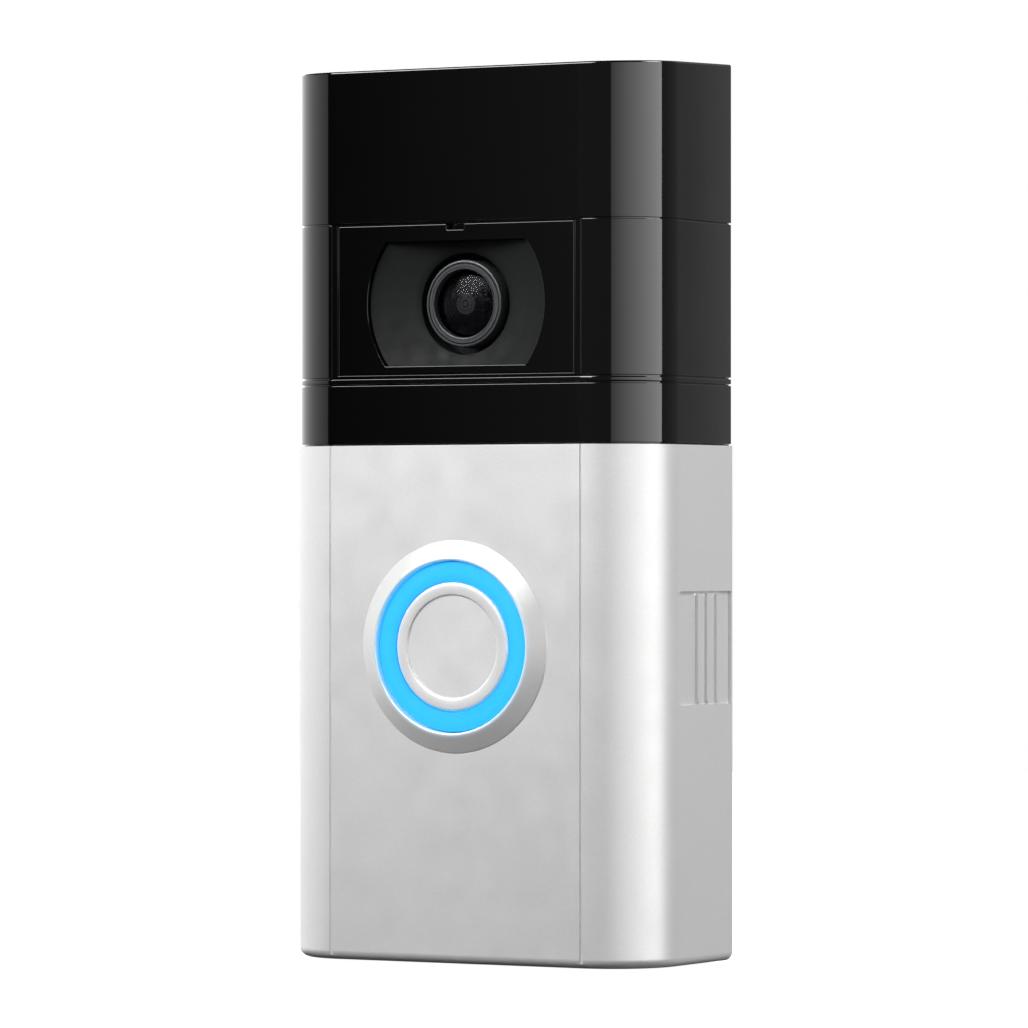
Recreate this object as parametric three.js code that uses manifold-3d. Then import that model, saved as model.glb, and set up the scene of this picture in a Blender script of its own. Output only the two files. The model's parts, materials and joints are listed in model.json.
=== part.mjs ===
// A battery video doorbell for a house wall, as an assembly of separate solids.
//
// Millimetres. +Z is up, the front faces -Y and +X is to the right of someone who faces it.
// The origin is on the wall plane, at the middle of the doorbell's width and of its front's height.

import * as THREE from "three";
import { mergeVertices } from "three/addons/utils/BufferGeometryUtils.js";
import Module from "manifold-3d";

// ---------------------------------------------------------------- driving dimensions

// The whole doorbell
const WIDTH = 62;
const FRONT_HEIGHT = 130;
const DEPTH = 27.2; // from the wall to the flat front
const CORNER_RADIUS = 10.7; // upright front corners
const TOP_RISE = 0.9; // the roof climbs this much from front to rear
const WALL_GAP = 0.3; // outer shells stop this far short of the wall

// Gaps
const SEAM = 0.24; // between two outer shells
const REST_GAP = 0.3; // between two pieces that rest on each other
const LINE_GAP = 0.06; // each side of a fine parting line
const RUNNING_GAP = 0.08; // round a piece that slides in a hole
const INNER_GAP = 0.4; // between the shells and the housing inside them
const SCREW_GAP = 0.15; // round a screw in its hole

// Bands of the front, from the top down; the faceplate takes what is left
const UPPER_BAND = 22.4;
const CAMERA_BAND = 22.6;
const TRIM_BAND = 0.95;
const SENSOR_BAND = 8.75;
const SHELL_WALL = 1.8;

// Camera window and its frame
const FRAME_HALF_WIDTH = 21;
const WINDOW_HALF_WIDTH = 19.8;
const FRAME_TOP_STRIP = 0.3;
const FRAME_BOTTOM_STRIP = 0.35;
const FRAME_THICKNESS = 2.5;
const WINDOW_THICKNESS = 1.2;
const BACKING_THICKNESS = 1.5; // plate of the camera cover behind the frame
const NOTCH_WIDTH = 3; // microphone port in the window's top edge
const NOTCH_DEPTH = 0.85;

// Lens shroud: a dish with a round outline cut flat above and below
const LENS_BELOW_SEAM = 11.85;
const SHROUD_RADIUS = 14.85;
const SHROUD_HALF_HEIGHT = 9.05;
const SHROUD_STEP = 1; // its rim is this far behind the window's face
const SHROUD_HOLE_RADIUS = 7.4;
const SHROUD_HOLE_DEPTH = 2.9;
const SHROUD_FLANGE = 1.5; // lip round its rear edge
const SHROUD_FLANGE_THICKNESS = 1;

// Camera
const BARREL_RADIUS = 6.4;
const BARREL_DEPTH = 2.5; // its mouth, behind the front
const BARREL_LENGTH = 9.5;
const BARREL_THREAD_RADIUS = 5.6;
const BARREL_THREAD_LENGTH = 3;
const RETAINER_RADIUS = 5.85;
const RETAINER_BORE_RADIUS = 4.6;
const RETAINER_THICKNESS = 0.8;
const FRONT_LENS_RADIUS = 4.95;
const FRONT_LENS_THICKNESS = 2.2;
const FRONT_LENS_CROWN = 1.3;
const INNER_BORE_RADIUS = 3.4;
const IRIS_HOLE_RADIUS = 0.76;
const IRIS_THICKNESS = 0.6;
const REAR_LENS_THICKNESS = 1.8;
const HOLDER_SIZE = 15;
const HOLDER_THICKNESS = 4;
const SENSOR_WIDTH = 7.6;
const SENSOR_HEIGHT = 6;
const SENSOR_THICKNESS = 0.8;
const BOARD_THICKNESS = 1;
const CAMERA_BOARD_HALF_WIDTH = 22;
const CAMERA_BOARD_HALF_HEIGHT = 10.5;
const CAMERA_SCREW_OFFSET = 19.4;
const STANDOFF_RADIUS = 2;
const IR_LIGHT_RADIUS = 1.5;
const IR_LIGHT_OFFSET = 17.6; // sideways from the lens
const IR_LIGHT_SPREAD = 6.8; // up and down from the lens
const IR_LIGHT_GAP = 0.6; // behind the window
const MICROPHONE_WIDTH = 3.8;
const MICROPHONE_HEIGHT = 3;
const MICROPHONE_THICKNESS = 1.1;

// Motion sensors
const PIR_RADIUS = 3.2;
const PIR_OFFSET = 10;
const PIR_LENGTH = 4.4;
const PIR_BOARD_HALF_WIDTH = 16;
const MOTION_LENS_THICKNESS = 0.5;
const MOTION_LENS_HALF_WIDTH = 18;

// Faceplate
const FACEPLATE_WALL = 1.3;
const FACEPLATE_FLOOR = 2;
const FACEPLATE_PROUD = 0.2; // of the black shells
const FACEPLATE_EDGE_RADIUS = 1.4; // along its bottom edge
const LINE_OFFSET = 21; // the two fine lines on its front
const LINE_WIDTH = 0.5;
const LINE_DEPTH = 0.2;
const GRIP_DEPTH = 0.45;
const GRIP_LENGTH = 15.6;
const GRIP_HEIGHT = 16.4;
const GRIP_BELOW_SEAM = 21.3;
const GRIP_REAR_LIP = 0.5;
const GRIP_RIBS = 3;
const GRIP_RIB_WIDTH = 1.4;
const GRIP_RIB_PITCH = 2.9;
const GRIP_RIB_REAR = 3.8; // rear edge of the last rib, from the wall

// Button and its light
const BUTTON_BELOW_SEAM = 29.34;
const BEZEL_RADIUS = 15.5;
const BEZEL_RIM = 0.35; // flat rim at the top of the cone
const BEZEL_RISE = 1.3; // above the faceplate
const LIGHT_RING_RADIUS = 12.4;
const LIGHT_RING_BORE_RADIUS = 9.43;
const LIGHT_RING_PROUD = 0.9; // above the flat front of the black shells
const LIGHT_RING_LENGTH = 3.4;
const LIGHT_RING_FLANGE = 0.9;
const LIGHT_RING_FLANGE_THICKNESS = 0.8;
const CAP_DISC_RADIUS = 7.5;
const CAP_DISC_DEPTH = 0.25;
const CAP_WALL = 1.2;
const CAP_FLANGE = 0.7;
const CAP_FLANGE_THICKNESS = 0.6;
const CAP_LENGTH = 3;
const CAP_STEM_RADIUS = 2.2;
const BUTTON_TRAVEL = 0.5;
const SWITCH_SIZE = 6;
const SWITCH_THICKNESS = 1.6;
const PLUNGER_RADIUS = 1.4;
const PLUNGER_LENGTH = 1.2;
const PLUNGER_INSIDE = 0.4;
const RING_LIGHTS = 12;
const RING_LIGHT_SIZE = 1.4;
const RING_LIGHT_THICKNESS = 0.8;
const CARRIER_WALL = 0.6;
const CARRIER_GAP = 0.2; // round the light ring
const CARRIER_FLANGE = 3;
const CARRIER_FLANGE_THICKNESS = 1.2;
const CARRIER_FLOOR = 0.8;
const CARRIER_CABLE_HOLE_RADIUS = 3;
const GASKET_THICKNESS = 1;
const GASKET_WIDTH = 2;

// Chassis plates
const CHASSIS_DEPTH = 5.2; // their front face, behind the front
const CHASSIS_THICKNESS = 1.5;
const CHASSIS_INSET = 2.7; // from the inside of the shells
const CHASSIS_CORNER = 3;

// Setup button
const SETUP_RADIUS = 2;
const SETUP_INSET = 4.8; // sideways from the battery bay's left side
const SETUP_ABOVE_BOTTOM = 16;
const SETUP_PROUD = 0.8;
const SETUP_FLANGE = 0.8;
const SETUP_FLANGE_THICKNESS = 0.5;

// Rear housing
const HOUSING_WALL = 1.8;
const HOUSING_LIFT = 0.5; // above the faceplate's floor
const HOUSING_BACK = 2.4;
const BAY_WALL = 1;
const DIVIDER_BELOW_SEAM = 2.3; // between the battery bay and the upper space
const COLUMN_RADIUS = 3.4; // tubes for the wall screws
const WALL_SCREW_HOLE_RADIUS = 2.1;
const COLUMN_INSET = 6.2; // from the side
const COLUMN_ABOVE_BOTTOM = 8;
const COLUMN_BELOW_SEAM = 6.3;
const WALL_SCREW_HEAD_RADIUS = 4;
const POST_RADIUS = 1.9; // for the chassis screws
const POST_INSET = 5.2; // from the inside of the shells
const SCREW_RADIUS = 0.8;
const SCREW_LENGTH = 6;
const SCREW_HEAD_RADIUS = 1.7;
const SCREW_HEAD_THICKNESS = 1.1;
const CHASSIS_SCREW_HEIGHTS = [25, 53]; // above the bottom
const FRAME_SCREW_BELOW_TOP = 6;

// Wire pocket and terminals
const POCKET_HALF_WIDTH = 15;
const POCKET_HEIGHT = 25;
const POCKET_DEPTH = 5.7;
const POCKET_WALL = 1.2;
const POCKET_ABOVE_SEAM = 9.2; // its lower edge, above the faceplate's seam
const TERMINAL_HALF_WIDTH = 11;
const TERMINAL_HEIGHT = 9;
const TERMINAL_THICKNESS = 3.2;
const TERMINAL_SCREW_OFFSET = 5.5;
const TERMINAL_SCREW_RADIUS = 1.5;
const TERMINAL_HEAD_RADIUS = 2.9;
const TERMINAL_HEAD_THICKNESS = 1.1;
const TERMINAL_SCREW_LENGTH = 2.6;
const SLOT_WIDTH = 0.7;
const SLOT_DEPTH = 0.5;

// Battery
const BATTERY_HALF_WIDTH = 20;
const BATTERY_THICKNESS = 14.8;
const BATTERY_CORNER = 3;
const BATTERY_GAP = 0.8;
const LATCH_HALF_WIDTH = 7;
const LATCH_THICKNESS = 3;
const LATCH_LENGTH = 5;
const LATCH_NOSE = 1.9;
const LATCH_NOSE_HEIGHT = 1.4;
const LATCH_ROOM = 1.6; // between the faceplate's floor and the battery, beside the latch
const CONTACT_HALF_WIDTH = 6;
const CONTACT_LENGTH = 6;
const CONTACT_HEIGHT = 3;

// Security screw
const SECURITY_DEPTH = 3.7; // its axis, behind the front
const SECURITY_RADIUS = 1;
const SECURITY_LENGTH = 6.4;
const SECURITY_HEAD_RADIUS = 1.9;
const SECURITY_HEAD_THICKNESS = 1;
const SECURITY_SOCKET_RADIUS = 0.9;
const SECURITY_SOCKET_DEPTH = 0.6;
const NUT_SIZE = 4;
const NUT_THICKNESS = 1.6;
const LUG_HALF_WIDTH = 6;
const LUG_HEIGHT = 5.8;
const LUG_FLOOR = 2;

// Electronics
const MAIN_BOARD_HALF_WIDTH = 21.3;
const BOARD_CLEARANCE = 0.5; // in front of the wire pocket
const SHIELD_THICKNESS = 2.4;
const SHIELD_HEIGHT = 14;
const SHIELD_WIDTH = 17;
const ANTENNA_LENGTH = 36;
const ANTENNA_WIDTH = 6;
const ANTENNA_THICKNESS = 0.8;
const SPEAKER_THICKNESS = 4.2;
const SPEAKER_WIDTH = 12;
const SPEAKER_HEIGHT = 20;
const SPEAKER_CONE_DEPTH = 0.8;
const PORTS = 5;
const PORT_LENGTH = 9;
const PORT_HEIGHT = 1.1;
const PORT_PITCH = 2.2;
const PORTS_ABOVE_SEAM = 7; // their middle, above the upper cover's seam
const SPEAKER_BELOW_PORTS = 5.2;

// ---------------------------------------------------------------- places worked out from them

const FRONT = -DEPTH;
const TOP = FRONT_HEIGHT / 2;
const BOTTOM = -FRONT_HEIGHT / 2;
const UPPER_SEAM = TOP - UPPER_BAND;
const CAMERA_SEAM = UPPER_SEAM - CAMERA_BAND;
const TRIM_SEAM = CAMERA_SEAM - TRIM_BAND;
const FACEPLATE_SEAM = TRIM_SEAM - SENSOR_BAND;

const HOUSING_INSET = SHELL_WALL + INNER_GAP;
const CAVITY_INSET = HOUSING_INSET + HOUSING_WALL;
const HOUSING_BOTTOM = BOTTOM + FACEPLATE_FLOOR + HOUSING_LIFT;
const HOUSING_TOP = TOP - SHELL_WALL - INNER_GAP;
const HOUSING_INSIDE_TOP = HOUSING_TOP - HOUSING_WALL;

const CHASSIS_HALF_WIDTH = WIDTH / 2 - SHELL_WALL - CHASSIS_INSET;
const CHASSIS_FRONT = FRONT + CHASSIS_DEPTH;
const CHASSIS_REAR = CHASSIS_FRONT + CHASSIS_THICKNESS;
const HOUSING_FRONT = CHASSIS_REAR + REST_GAP;

const LENS_Z = UPPER_SEAM - LENS_BELOW_SEAM;
const FRAME_REAR = FRONT + FRAME_THICKNESS;
const BACKING_FRONT = FRAME_REAR + REST_GAP;
const BACKING_REAR = BACKING_FRONT + BACKING_THICKNESS;
const FLANGE_FRONT = BACKING_REAR + REST_GAP;
const FLANGE_REAR = FLANGE_FRONT + SHROUD_FLANGE_THICKNESS;
const BARREL_FRONT = FRONT + BARREL_DEPTH;
const BARREL_REAR = BARREL_FRONT + BARREL_LENGTH;
const SENSOR_FRONT = BARREL_REAR + REST_GAP;
const CAMERA_BOARD_FRONT = SENSOR_FRONT + SENSOR_THICKNESS + REST_GAP;
const HOLDER_REAR = CAMERA_BOARD_FRONT - REST_GAP;

const BUTTON_Z = FACEPLATE_SEAM - BUTTON_BELOW_SEAM;
const LIGHT_RING_FRONT = FRONT - LIGHT_RING_PROUD;
const LIGHT_RING_REAR = LIGHT_RING_FRONT + LIGHT_RING_LENGTH;
const CAP_RADIUS = LIGHT_RING_BORE_RADIUS - RUNNING_GAP;
const CAP_REAR = LIGHT_RING_FRONT + CAP_LENGTH;
const PLUNGER_FRONT = CAP_REAR + REST_GAP;
const SWITCH_FRONT = PLUNGER_FRONT + PLUNGER_LENGTH - PLUNGER_INSIDE;
const RING_BOARD_FRONT = SWITCH_FRONT + SWITCH_THICKNESS + REST_GAP;
const RING_BOARD_REAR = RING_BOARD_FRONT + BOARD_THICKNESS;
const CARRIER_BORE_RADIUS = LIGHT_RING_RADIUS + LIGHT_RING_FLANGE + CARRIER_GAP;
const CARRIER_RADIUS = CARRIER_BORE_RADIUS + CARRIER_WALL;
const CARRIER_REAR = RING_BOARD_REAR + REST_GAP + CARRIER_FLOOR;
const CARRIER_FRONT = LIGHT_RING_REAR - LIGHT_RING_FLANGE_THICKNESS - REST_GAP;
const CARRIER_FLANGE_REAR = CHASSIS_FRONT - REST_GAP;
const CARRIER_FLANGE_FRONT = CARRIER_FLANGE_REAR - CARRIER_FLANGE_THICKNESS;

const POCKET_BOTTOM = FACEPLATE_SEAM + POCKET_ABOVE_SEAM;
const MAIN_BOARD_REAR = -POCKET_DEPTH - POCKET_WALL - BOARD_CLEARANCE;
const MAIN_BOARD_FRONT = MAIN_BOARD_REAR - BOARD_THICKNESS;
const DIVIDER_Z = FACEPLATE_SEAM - DIVIDER_BELOW_SEAM;

const BATTERY_REAR = -HOUSING_BACK - BATTERY_GAP;
const BATTERY_FRONT = BATTERY_REAR - BATTERY_THICKNESS;
const BATTERY_TOP = DIVIDER_Z - CONTACT_HEIGHT;
const BATTERY_BOTTOM = BOTTOM + FACEPLATE_FLOOR + LATCH_THICKNESS + LATCH_ROOM;
const BAY_HALF_WIDTH = BATTERY_HALF_WIDTH + BATTERY_GAP;

const SECURITY_Y = FRONT + SECURITY_DEPTH;
const SETUP_X = SETUP_INSET - BAY_HALF_WIDTH;
const SETUP_Z = BOTTOM + SETUP_ABOVE_BOTTOM;
const SIDES = [
  ["left", -1],
  ["right", 1],
];

// ---------------------------------------------------------------- solids

const wasm = await Module();
wasm.setup();

const ROUND = 32; // sides of a large round
const SMALL_ROUND = 14; // sides of a small one
const ARC_STEPS = 6; // steps in a rounded corner

// A closed three.js geometry as a solid that can be joined and cut.
function solid(geometry) {
  const bare = geometry.clone();
  bare.deleteAttribute("normal");
  bare.deleteAttribute("uv");
  const merged = mergeVertices(bare, 1e-4);
  const corners = merged.index.array;
  const kept = [];
  for (let i = 0; i < corners.length; i += 3) {
    const [a, b, c] = [corners[i], corners[i + 1], corners[i + 2]];
    if (a !== b && b !== c && c !== a) kept.push(a, b, c);
  }
  return new wasm.Manifold(
    new wasm.Mesh({
      numProp: 3,
      vertProperties: new Float32Array(merged.attributes.position.array),
      triVerts: new Uint32Array(kept),
    }),
  );
}

// A solid as a three.js geometry.
function geometryOf(made) {
  const { vertProperties, triVerts } = made.getMesh();
  const geometry = new THREE.BufferGeometry();
  geometry.setAttribute("position", new THREE.BufferAttribute(vertProperties, 3));
  geometry.setIndex(new THREE.BufferAttribute(triVerts, 1));
  const flat = geometry.toNonIndexed();
  flat.computeVertexNormals();
  return flat;
}

function joined(...solids) {
  return solids.reduce((a, b) => a.add(b));
}

function cut(body, ...cutters) {
  return cutters.reduce((a, b) => a.subtract(b), body);
}

// A box between two corners.
function box([x0, x1], [y0, y1], [z0, z1]) {
  const geometry = new THREE.BoxGeometry(x1 - x0, y1 - y0, z1 - z0);
  geometry.translate((x0 + x1) / 2, (y0 + y1) / 2, (z0 + z1) / 2);
  return solid(geometry);
}

// An outline seen from above, raised from z0 to z1.
function upright(outline, z0, z1) {
  const geometry = new THREE.ExtrudeGeometry(outline, {
    depth: z1 - z0,
    bevelEnabled: false,
    curveSegments: ARC_STEPS,
  });
  geometry.translate(0, 0, z0);
  return solid(geometry);
}

// An outline seen from the front, in x and z, running back from y0 to y1.
function frontal(outline, y0, y1) {
  const geometry = new THREE.ExtrudeGeometry(outline, {
    depth: y1 - y0,
    bevelEnabled: false,
    curveSegments: ARC_STEPS * 2,
  });
  geometry.rotateX(Math.PI / 2);
  geometry.translate(0, y1, 0);
  return solid(geometry);
}

// An outline seen from the side, in y and z, running across from x0 to x1.
function sideways(outline, x0, x1) {
  const geometry = new THREE.ExtrudeGeometry(outline, {
    depth: x1 - x0,
    bevelEnabled: false,
    curveSegments: ARC_STEPS,
  });
  const turn = new THREE.Matrix4().makeBasis(
    new THREE.Vector3(0, 1, 0),
    new THREE.Vector3(0, 0, 1),
    new THREE.Vector3(1, 0, 0),
  );
  geometry.applyMatrix4(turn);
  geometry.translate(x0, 0, 0);
  return solid(geometry);
}

// A profile of [radius, y] points turned about an axis along Y at (x, z).
// It runs from front to back round the outside and back to the front inside.
function turned(profile, x, z, sides = ROUND) {
  const points = profile.map(([radius, y]) => new THREE.Vector2(radius, y));
  const closed = profile[0][0] === 0 ? points : [...points, points[0]];
  const geometry = new THREE.LatheGeometry(closed, sides);
  geometry.translate(x, 0, z);
  return solid(geometry);
}

// A round bar along Y.
function bar(radius, y0, y1, x, z, sides = SMALL_ROUND) {
  return turned([[0, y0], [radius, y0], [radius, y1], [0, y1]], x, z, sides);
}

// A round bar along Z.
function uprightBar(radius, z0, z1, x, y, sides = SMALL_ROUND) {
  const geometry = new THREE.CylinderGeometry(radius, radius, z1 - z0, sides);
  geometry.rotateX(Math.PI / 2);
  geometry.translate(x, y, (z0 + z1) / 2);
  return solid(geometry);
}

// ---------------------------------------------------------------- outlines

// The doorbell seen from above: square at the rear, rounded at the two front corners.
function planOutline(inset, rear) {
  const half = WIDTH / 2 - inset;
  const front = FRONT + inset;
  const radius = CORNER_RADIUS - inset;
  const outline = new THREE.Shape();
  outline.moveTo(half, rear);
  outline.lineTo(-half, rear);
  outline.lineTo(-half, front + radius);
  outline.absarc(-half + radius, front + radius, radius, Math.PI, 1.5 * Math.PI, false);
  outline.lineTo(half - radius, front);
  outline.absarc(half - radius, front + radius, radius, 1.5 * Math.PI, 2 * Math.PI, false);
  outline.closePath();
  return outline;
}

// A rectangle with rounded corners.
function roundedOutline([x0, x1], [y0, y1], radius) {
  const outline = new THREE.Shape();
  outline.moveTo(x0 + radius, y0);
  outline.lineTo(x1 - radius, y0);
  outline.absarc(x1 - radius, y0 + radius, radius, -Math.PI / 2, 0, false);
  outline.lineTo(x1, y1 - radius);
  outline.absarc(x1 - radius, y1 - radius, radius, 0, Math.PI / 2, false);
  outline.lineTo(x0 + radius, y1);
  outline.absarc(x0 + radius, y1 - radius, radius, Math.PI / 2, Math.PI, false);
  outline.lineTo(x0, y0 + radius);
  outline.absarc(x0 + radius, y0 + radius, radius, Math.PI, 1.5 * Math.PI, false);
  outline.closePath();
  return outline;
}

// A circle cut flat above and below, round the lens.
function shroudOutline(grow) {
  const radius = SHROUD_RADIUS + grow;
  const angle = Math.asin((SHROUD_HALF_HEIGHT + grow) / radius);
  const outline = new THREE.Shape();
  outline.absarc(0, LENS_Z, radius, -angle, angle, false);
  outline.absarc(0, LENS_Z, radius, Math.PI - angle, Math.PI + angle, false);
  outline.closePath();
  return outline;
}

// ---------------------------------------------------------------- materials

function finish(colour, roughness, metalness = 0) {
  return new THREE.MeshStandardMaterial({ color: colour, roughness, metalness });
}

const FINISHES = {
  glossBlack: finish(0x08080a, 0.12),
  matteBlack: finish(0x1c1d1f, 0.7),
  satinSilver: finish(0xc9cac9, 0.38, 0.75),
  blueLight: finish(0x37b4ff, 0.35),
  lensGlass: finish(0x10141c, 0.04),
  lensMetal: finish(0x2e3033, 0.4, 0.6),
  circuit: finish(0x14532f, 0.55),
  chip: finish(0x17181a, 0.45),
  tin: finish(0xb4b6b8, 0.35, 0.9),
  steel: finish(0x9a9c9f, 0.3, 0.9),
  copper: finish(0xc8943e, 0.35, 0.9),
  rubber: finish(0x232323, 0.85),
  frosted: finish(0xd8dadb, 0.6),
  setupOrange: finish(0xd9701e, 0.5),
  batteryGrey: finish(0x33363a, 0.6),
  clearLed: finish(0x4a3f55, 0.2),
};

const doorbell = new THREE.Group();

function piece(name, made, material) {
  const mesh = new THREE.Mesh(geometryOf(made), material.clone());
  mesh.name = name;
  doorbell.add(mesh);
}

// ---------------------------------------------------------------- black shells

// One band of the wrap-round front, open at the rear.
function band(z0, z1) {
  const outside = upright(planOutline(0, -WALL_GAP), z0, z1);
  return cut(outside, upright(planOutline(SHELL_WALL, 0), z0 - 1, z1 + 1));
}

function speakerPorts(x0, x1) {
  const middle = (HOUSING_FRONT - HOUSING_BACK) / 2;
  const first = portsMiddle() - ((PORTS - 1) / 2) * PORT_PITCH;
  return Array.from({ length: PORTS }, (_, i) => {
    const z = first + i * PORT_PITCH;
    const y = [middle - PORT_LENGTH / 2, middle + PORT_LENGTH / 2];
    return box([x0, x1], y, [z - PORT_HEIGHT / 2, z + PORT_HEIGHT / 2]);
  });
}

function portsMiddle() {
  return UPPER_SEAM + PORTS_ABOVE_SEAM;
}

function upperCover() {
  const low = UPPER_SEAM + SEAM / 2;
  const high = TOP + TOP_RISE;
  const roof = new THREE.Shape();
  roof.moveTo(FRONT - 1, low - 1);
  roof.lineTo(1, low - 1);
  roof.lineTo(1, high + TOP_RISE / DEPTH);
  roof.lineTo(FRONT - 1, TOP - TOP_RISE / DEPTH);
  roof.closePath();
  const outside = upright(planOutline(0, -WALL_GAP), low, high + 1);
  const sloped = outside.intersect(sideways(roof, -WIDTH, WIDTH));
  const inside = upright(planOutline(SHELL_WALL, 0), low - 1, TOP - SHELL_WALL);
  const ports = speakerPorts(-WIDTH / 2 - 1, -WIDTH / 2 + SHELL_WALL + 1);
  return cut(sloped, inside, ...ports);
}

function lightPlaces() {
  const places = [];
  for (const x of [-IR_LIGHT_OFFSET, IR_LIGHT_OFFSET])
    for (const z of [LENS_Z - IR_LIGHT_SPREAD, LENS_Z + IR_LIGHT_SPREAD]) places.push([x, z]);
  return places;
}

function lightHoles(y0, y1) {
  return lightPlaces().map(([x, z]) => bar(IR_LIGHT_RADIUS + REST_GAP, y0, y1, x, z));
}

function cameraCover() {
  const low = CAMERA_SEAM + SEAM / 2;
  const high = UPPER_SEAM - SEAM / 2;
  const inside = upright(planOutline(SHELL_WALL / 2, 0), low, high);
  const backing = inside.intersect(
    box([-WIDTH, WIDTH], [BACKING_FRONT, BACKING_REAR], [low, high]),
  );
  const half = FRAME_HALF_WIDTH + LINE_GAP;
  return cut(
    joined(band(low, high), backing),
    box([-half, half], [FRONT - 1, BACKING_FRONT], [low - 1, high + 1]),
    frontal(shroudOutline(REST_GAP), BACKING_FRONT - 1, BACKING_REAR + 1),
    ...lightHoles(BACKING_FRONT - 1, BACKING_REAR + 1),
    bar(NOTCH_WIDTH / 2, BACKING_FRONT - 1, BACKING_REAR + 1, 0, high - 1),
  );
}

function windowHeights() {
  const low = CAMERA_SEAM + SEAM / 2 + FRAME_BOTTOM_STRIP;
  return [low, UPPER_SEAM - FRAME_TOP_STRIP];
}

function cameraFrame() {
  const half = FRAME_HALF_WIDTH - LINE_GAP;
  const [low, high] = windowHeights();
  const block = box(
    [-half, half],
    [FRONT, FRAME_REAR],
    [CAMERA_SEAM + SEAM / 2, UPPER_SEAM - SEAM / 2],
  );
  const floor = FRONT + WINDOW_THICKNESS + REST_GAP;
  return cut(
    block,
    box([-WINDOW_HALF_WIDTH - LINE_GAP, WINDOW_HALF_WIDTH + LINE_GAP], [FRONT - 1, floor],
      [low - LINE_GAP, high + LINE_GAP / 2]),
    frontal(shroudOutline(REST_GAP), FRONT, FRAME_REAR + 1),
    ...lightHoles(FRONT, FRAME_REAR + 1),
    bar(NOTCH_WIDTH / 2, FRONT, FRAME_REAR + 1, 0, high - NOTCH_WIDTH / 2),
  );
}

function cameraWindow() {
  const half = WINDOW_HALF_WIDTH - LINE_GAP;
  const [low, high] = windowHeights();
  const top = high - LINE_GAP;
  const rear = FRONT + WINDOW_THICKNESS;
  return cut(
    box([-half, half], [FRONT, rear], [low + LINE_GAP, top]),
    frontal(shroudOutline(0), FRONT - 1, rear + 1),
    box([-NOTCH_WIDTH / 2, NOTCH_WIDTH / 2], [FRONT - 1, rear + 1], [top - NOTCH_DEPTH, top + 1]),
  );
}

function trimBand() {
  return band(TRIM_SEAM + SEAM / 2, CAMERA_SEAM - SEAM / 2);
}

function sensorCover() {
  return band(FACEPLATE_SEAM + SEAM / 2, TRIM_SEAM - SEAM / 2);
}

function blackShells() {
  piece("upper_cover", upperCover(), FINISHES.glossBlack);
  piece("camera_cover", cameraCover(), FINISHES.glossBlack);
  piece("camera_frame", cameraFrame(), FINISHES.glossBlack);
  piece("camera_window", cameraWindow(), FINISHES.glossBlack);
  piece("trim_band", trimBand(), FINISHES.glossBlack);
  piece("sensor_cover", sensorCover(), FINISHES.glossBlack);
}

// ---------------------------------------------------------------- camera

function lensShroud() {
  const rim = FRONT + SHROUD_STEP;
  const hole = FRONT + SHROUD_HOLE_DEPTH;
  const body = frontal(shroudOutline(-RUNNING_GAP), rim, FLANGE_REAR);
  const flange = frontal(shroudOutline(SHROUD_FLANGE), FLANGE_FRONT, FLANGE_REAR);
  const dish = turned(
    [[0, rim - 1], [SHROUD_RADIUS + 1, rim - 1], [SHROUD_RADIUS, rim], [SHROUD_HOLE_RADIUS, hole],
      [SHROUD_HOLE_RADIUS, FLANGE_REAR + 1], [0, FLANGE_REAR + 1]],
    0, LENS_Z,
  );
  return cut(joined(body, flange), dish);
}

function lensBarrel() {
  const mouth = BARREL_FRONT + RETAINER_THICKNESS + REST_GAP;
  const seat = mouth + FRONT_LENS_THICKNESS + REST_GAP;
  const thread = BARREL_REAR - BARREL_THREAD_LENGTH;
  return turned(
    [
      [BARREL_RADIUS, BARREL_FRONT],
      [BARREL_RADIUS, thread],
      [BARREL_THREAD_RADIUS, thread],
      [BARREL_THREAD_RADIUS, BARREL_REAR],
      [INNER_BORE_RADIUS, BARREL_REAR],
      [INNER_BORE_RADIUS, seat],
      [FRONT_LENS_RADIUS + RUNNING_GAP, seat],
      [FRONT_LENS_RADIUS + RUNNING_GAP, mouth],
      [RETAINER_RADIUS + RUNNING_GAP, mouth],
      [RETAINER_RADIUS + RUNNING_GAP, BARREL_FRONT],
    ],
    0, LENS_Z,
  );
}

function lensRetainer() {
  const rear = BARREL_FRONT + RETAINER_THICKNESS;
  return turned(
    [
      [RETAINER_RADIUS, BARREL_FRONT],
      [RETAINER_RADIUS, rear],
      [RETAINER_BORE_RADIUS, rear],
      [RETAINER_BORE_RADIUS, rear - RETAINER_THICKNESS / 2],
    ],
    0, LENS_Z,
  );
}

function frontLens() {
  const edge = BARREL_FRONT + RETAINER_THICKNESS + REST_GAP;
  const rim = RETAINER_BORE_RADIUS - REST_GAP;
  const dome = Array.from({ length: ARC_STEPS + 1 }, (_, i) => {
    const share = i / ARC_STEPS;
    return [rim * share, edge - FRONT_LENS_CROWN * (1 - share * share)];
  });
  const rear = edge + FRONT_LENS_THICKNESS;
  return turned(
    [...dome, [FRONT_LENS_RADIUS, edge + REST_GAP], [FRONT_LENS_RADIUS, rear], [0, rear]],
    0, LENS_Z,
  );
}

function irisFront() {
  return BARREL_FRONT + RETAINER_THICKNESS + FRONT_LENS_THICKNESS + 3 * REST_GAP;
}

function lensIris() {
  const radius = INNER_BORE_RADIUS - RUNNING_GAP;
  const front = irisFront();
  const rear = front + IRIS_THICKNESS;
  return turned(
    [[radius, front], [radius, rear], [IRIS_HOLE_RADIUS, rear], [IRIS_HOLE_RADIUS, front]],
    0, LENS_Z, SMALL_ROUND,
  );
}

function rearLens() {
  const radius = INNER_BORE_RADIUS - RUNNING_GAP;
  const front = irisFront() + IRIS_THICKNESS + REST_GAP;
  return bar(radius, front, front + REAR_LENS_THICKNESS, 0, LENS_Z);
}

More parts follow.
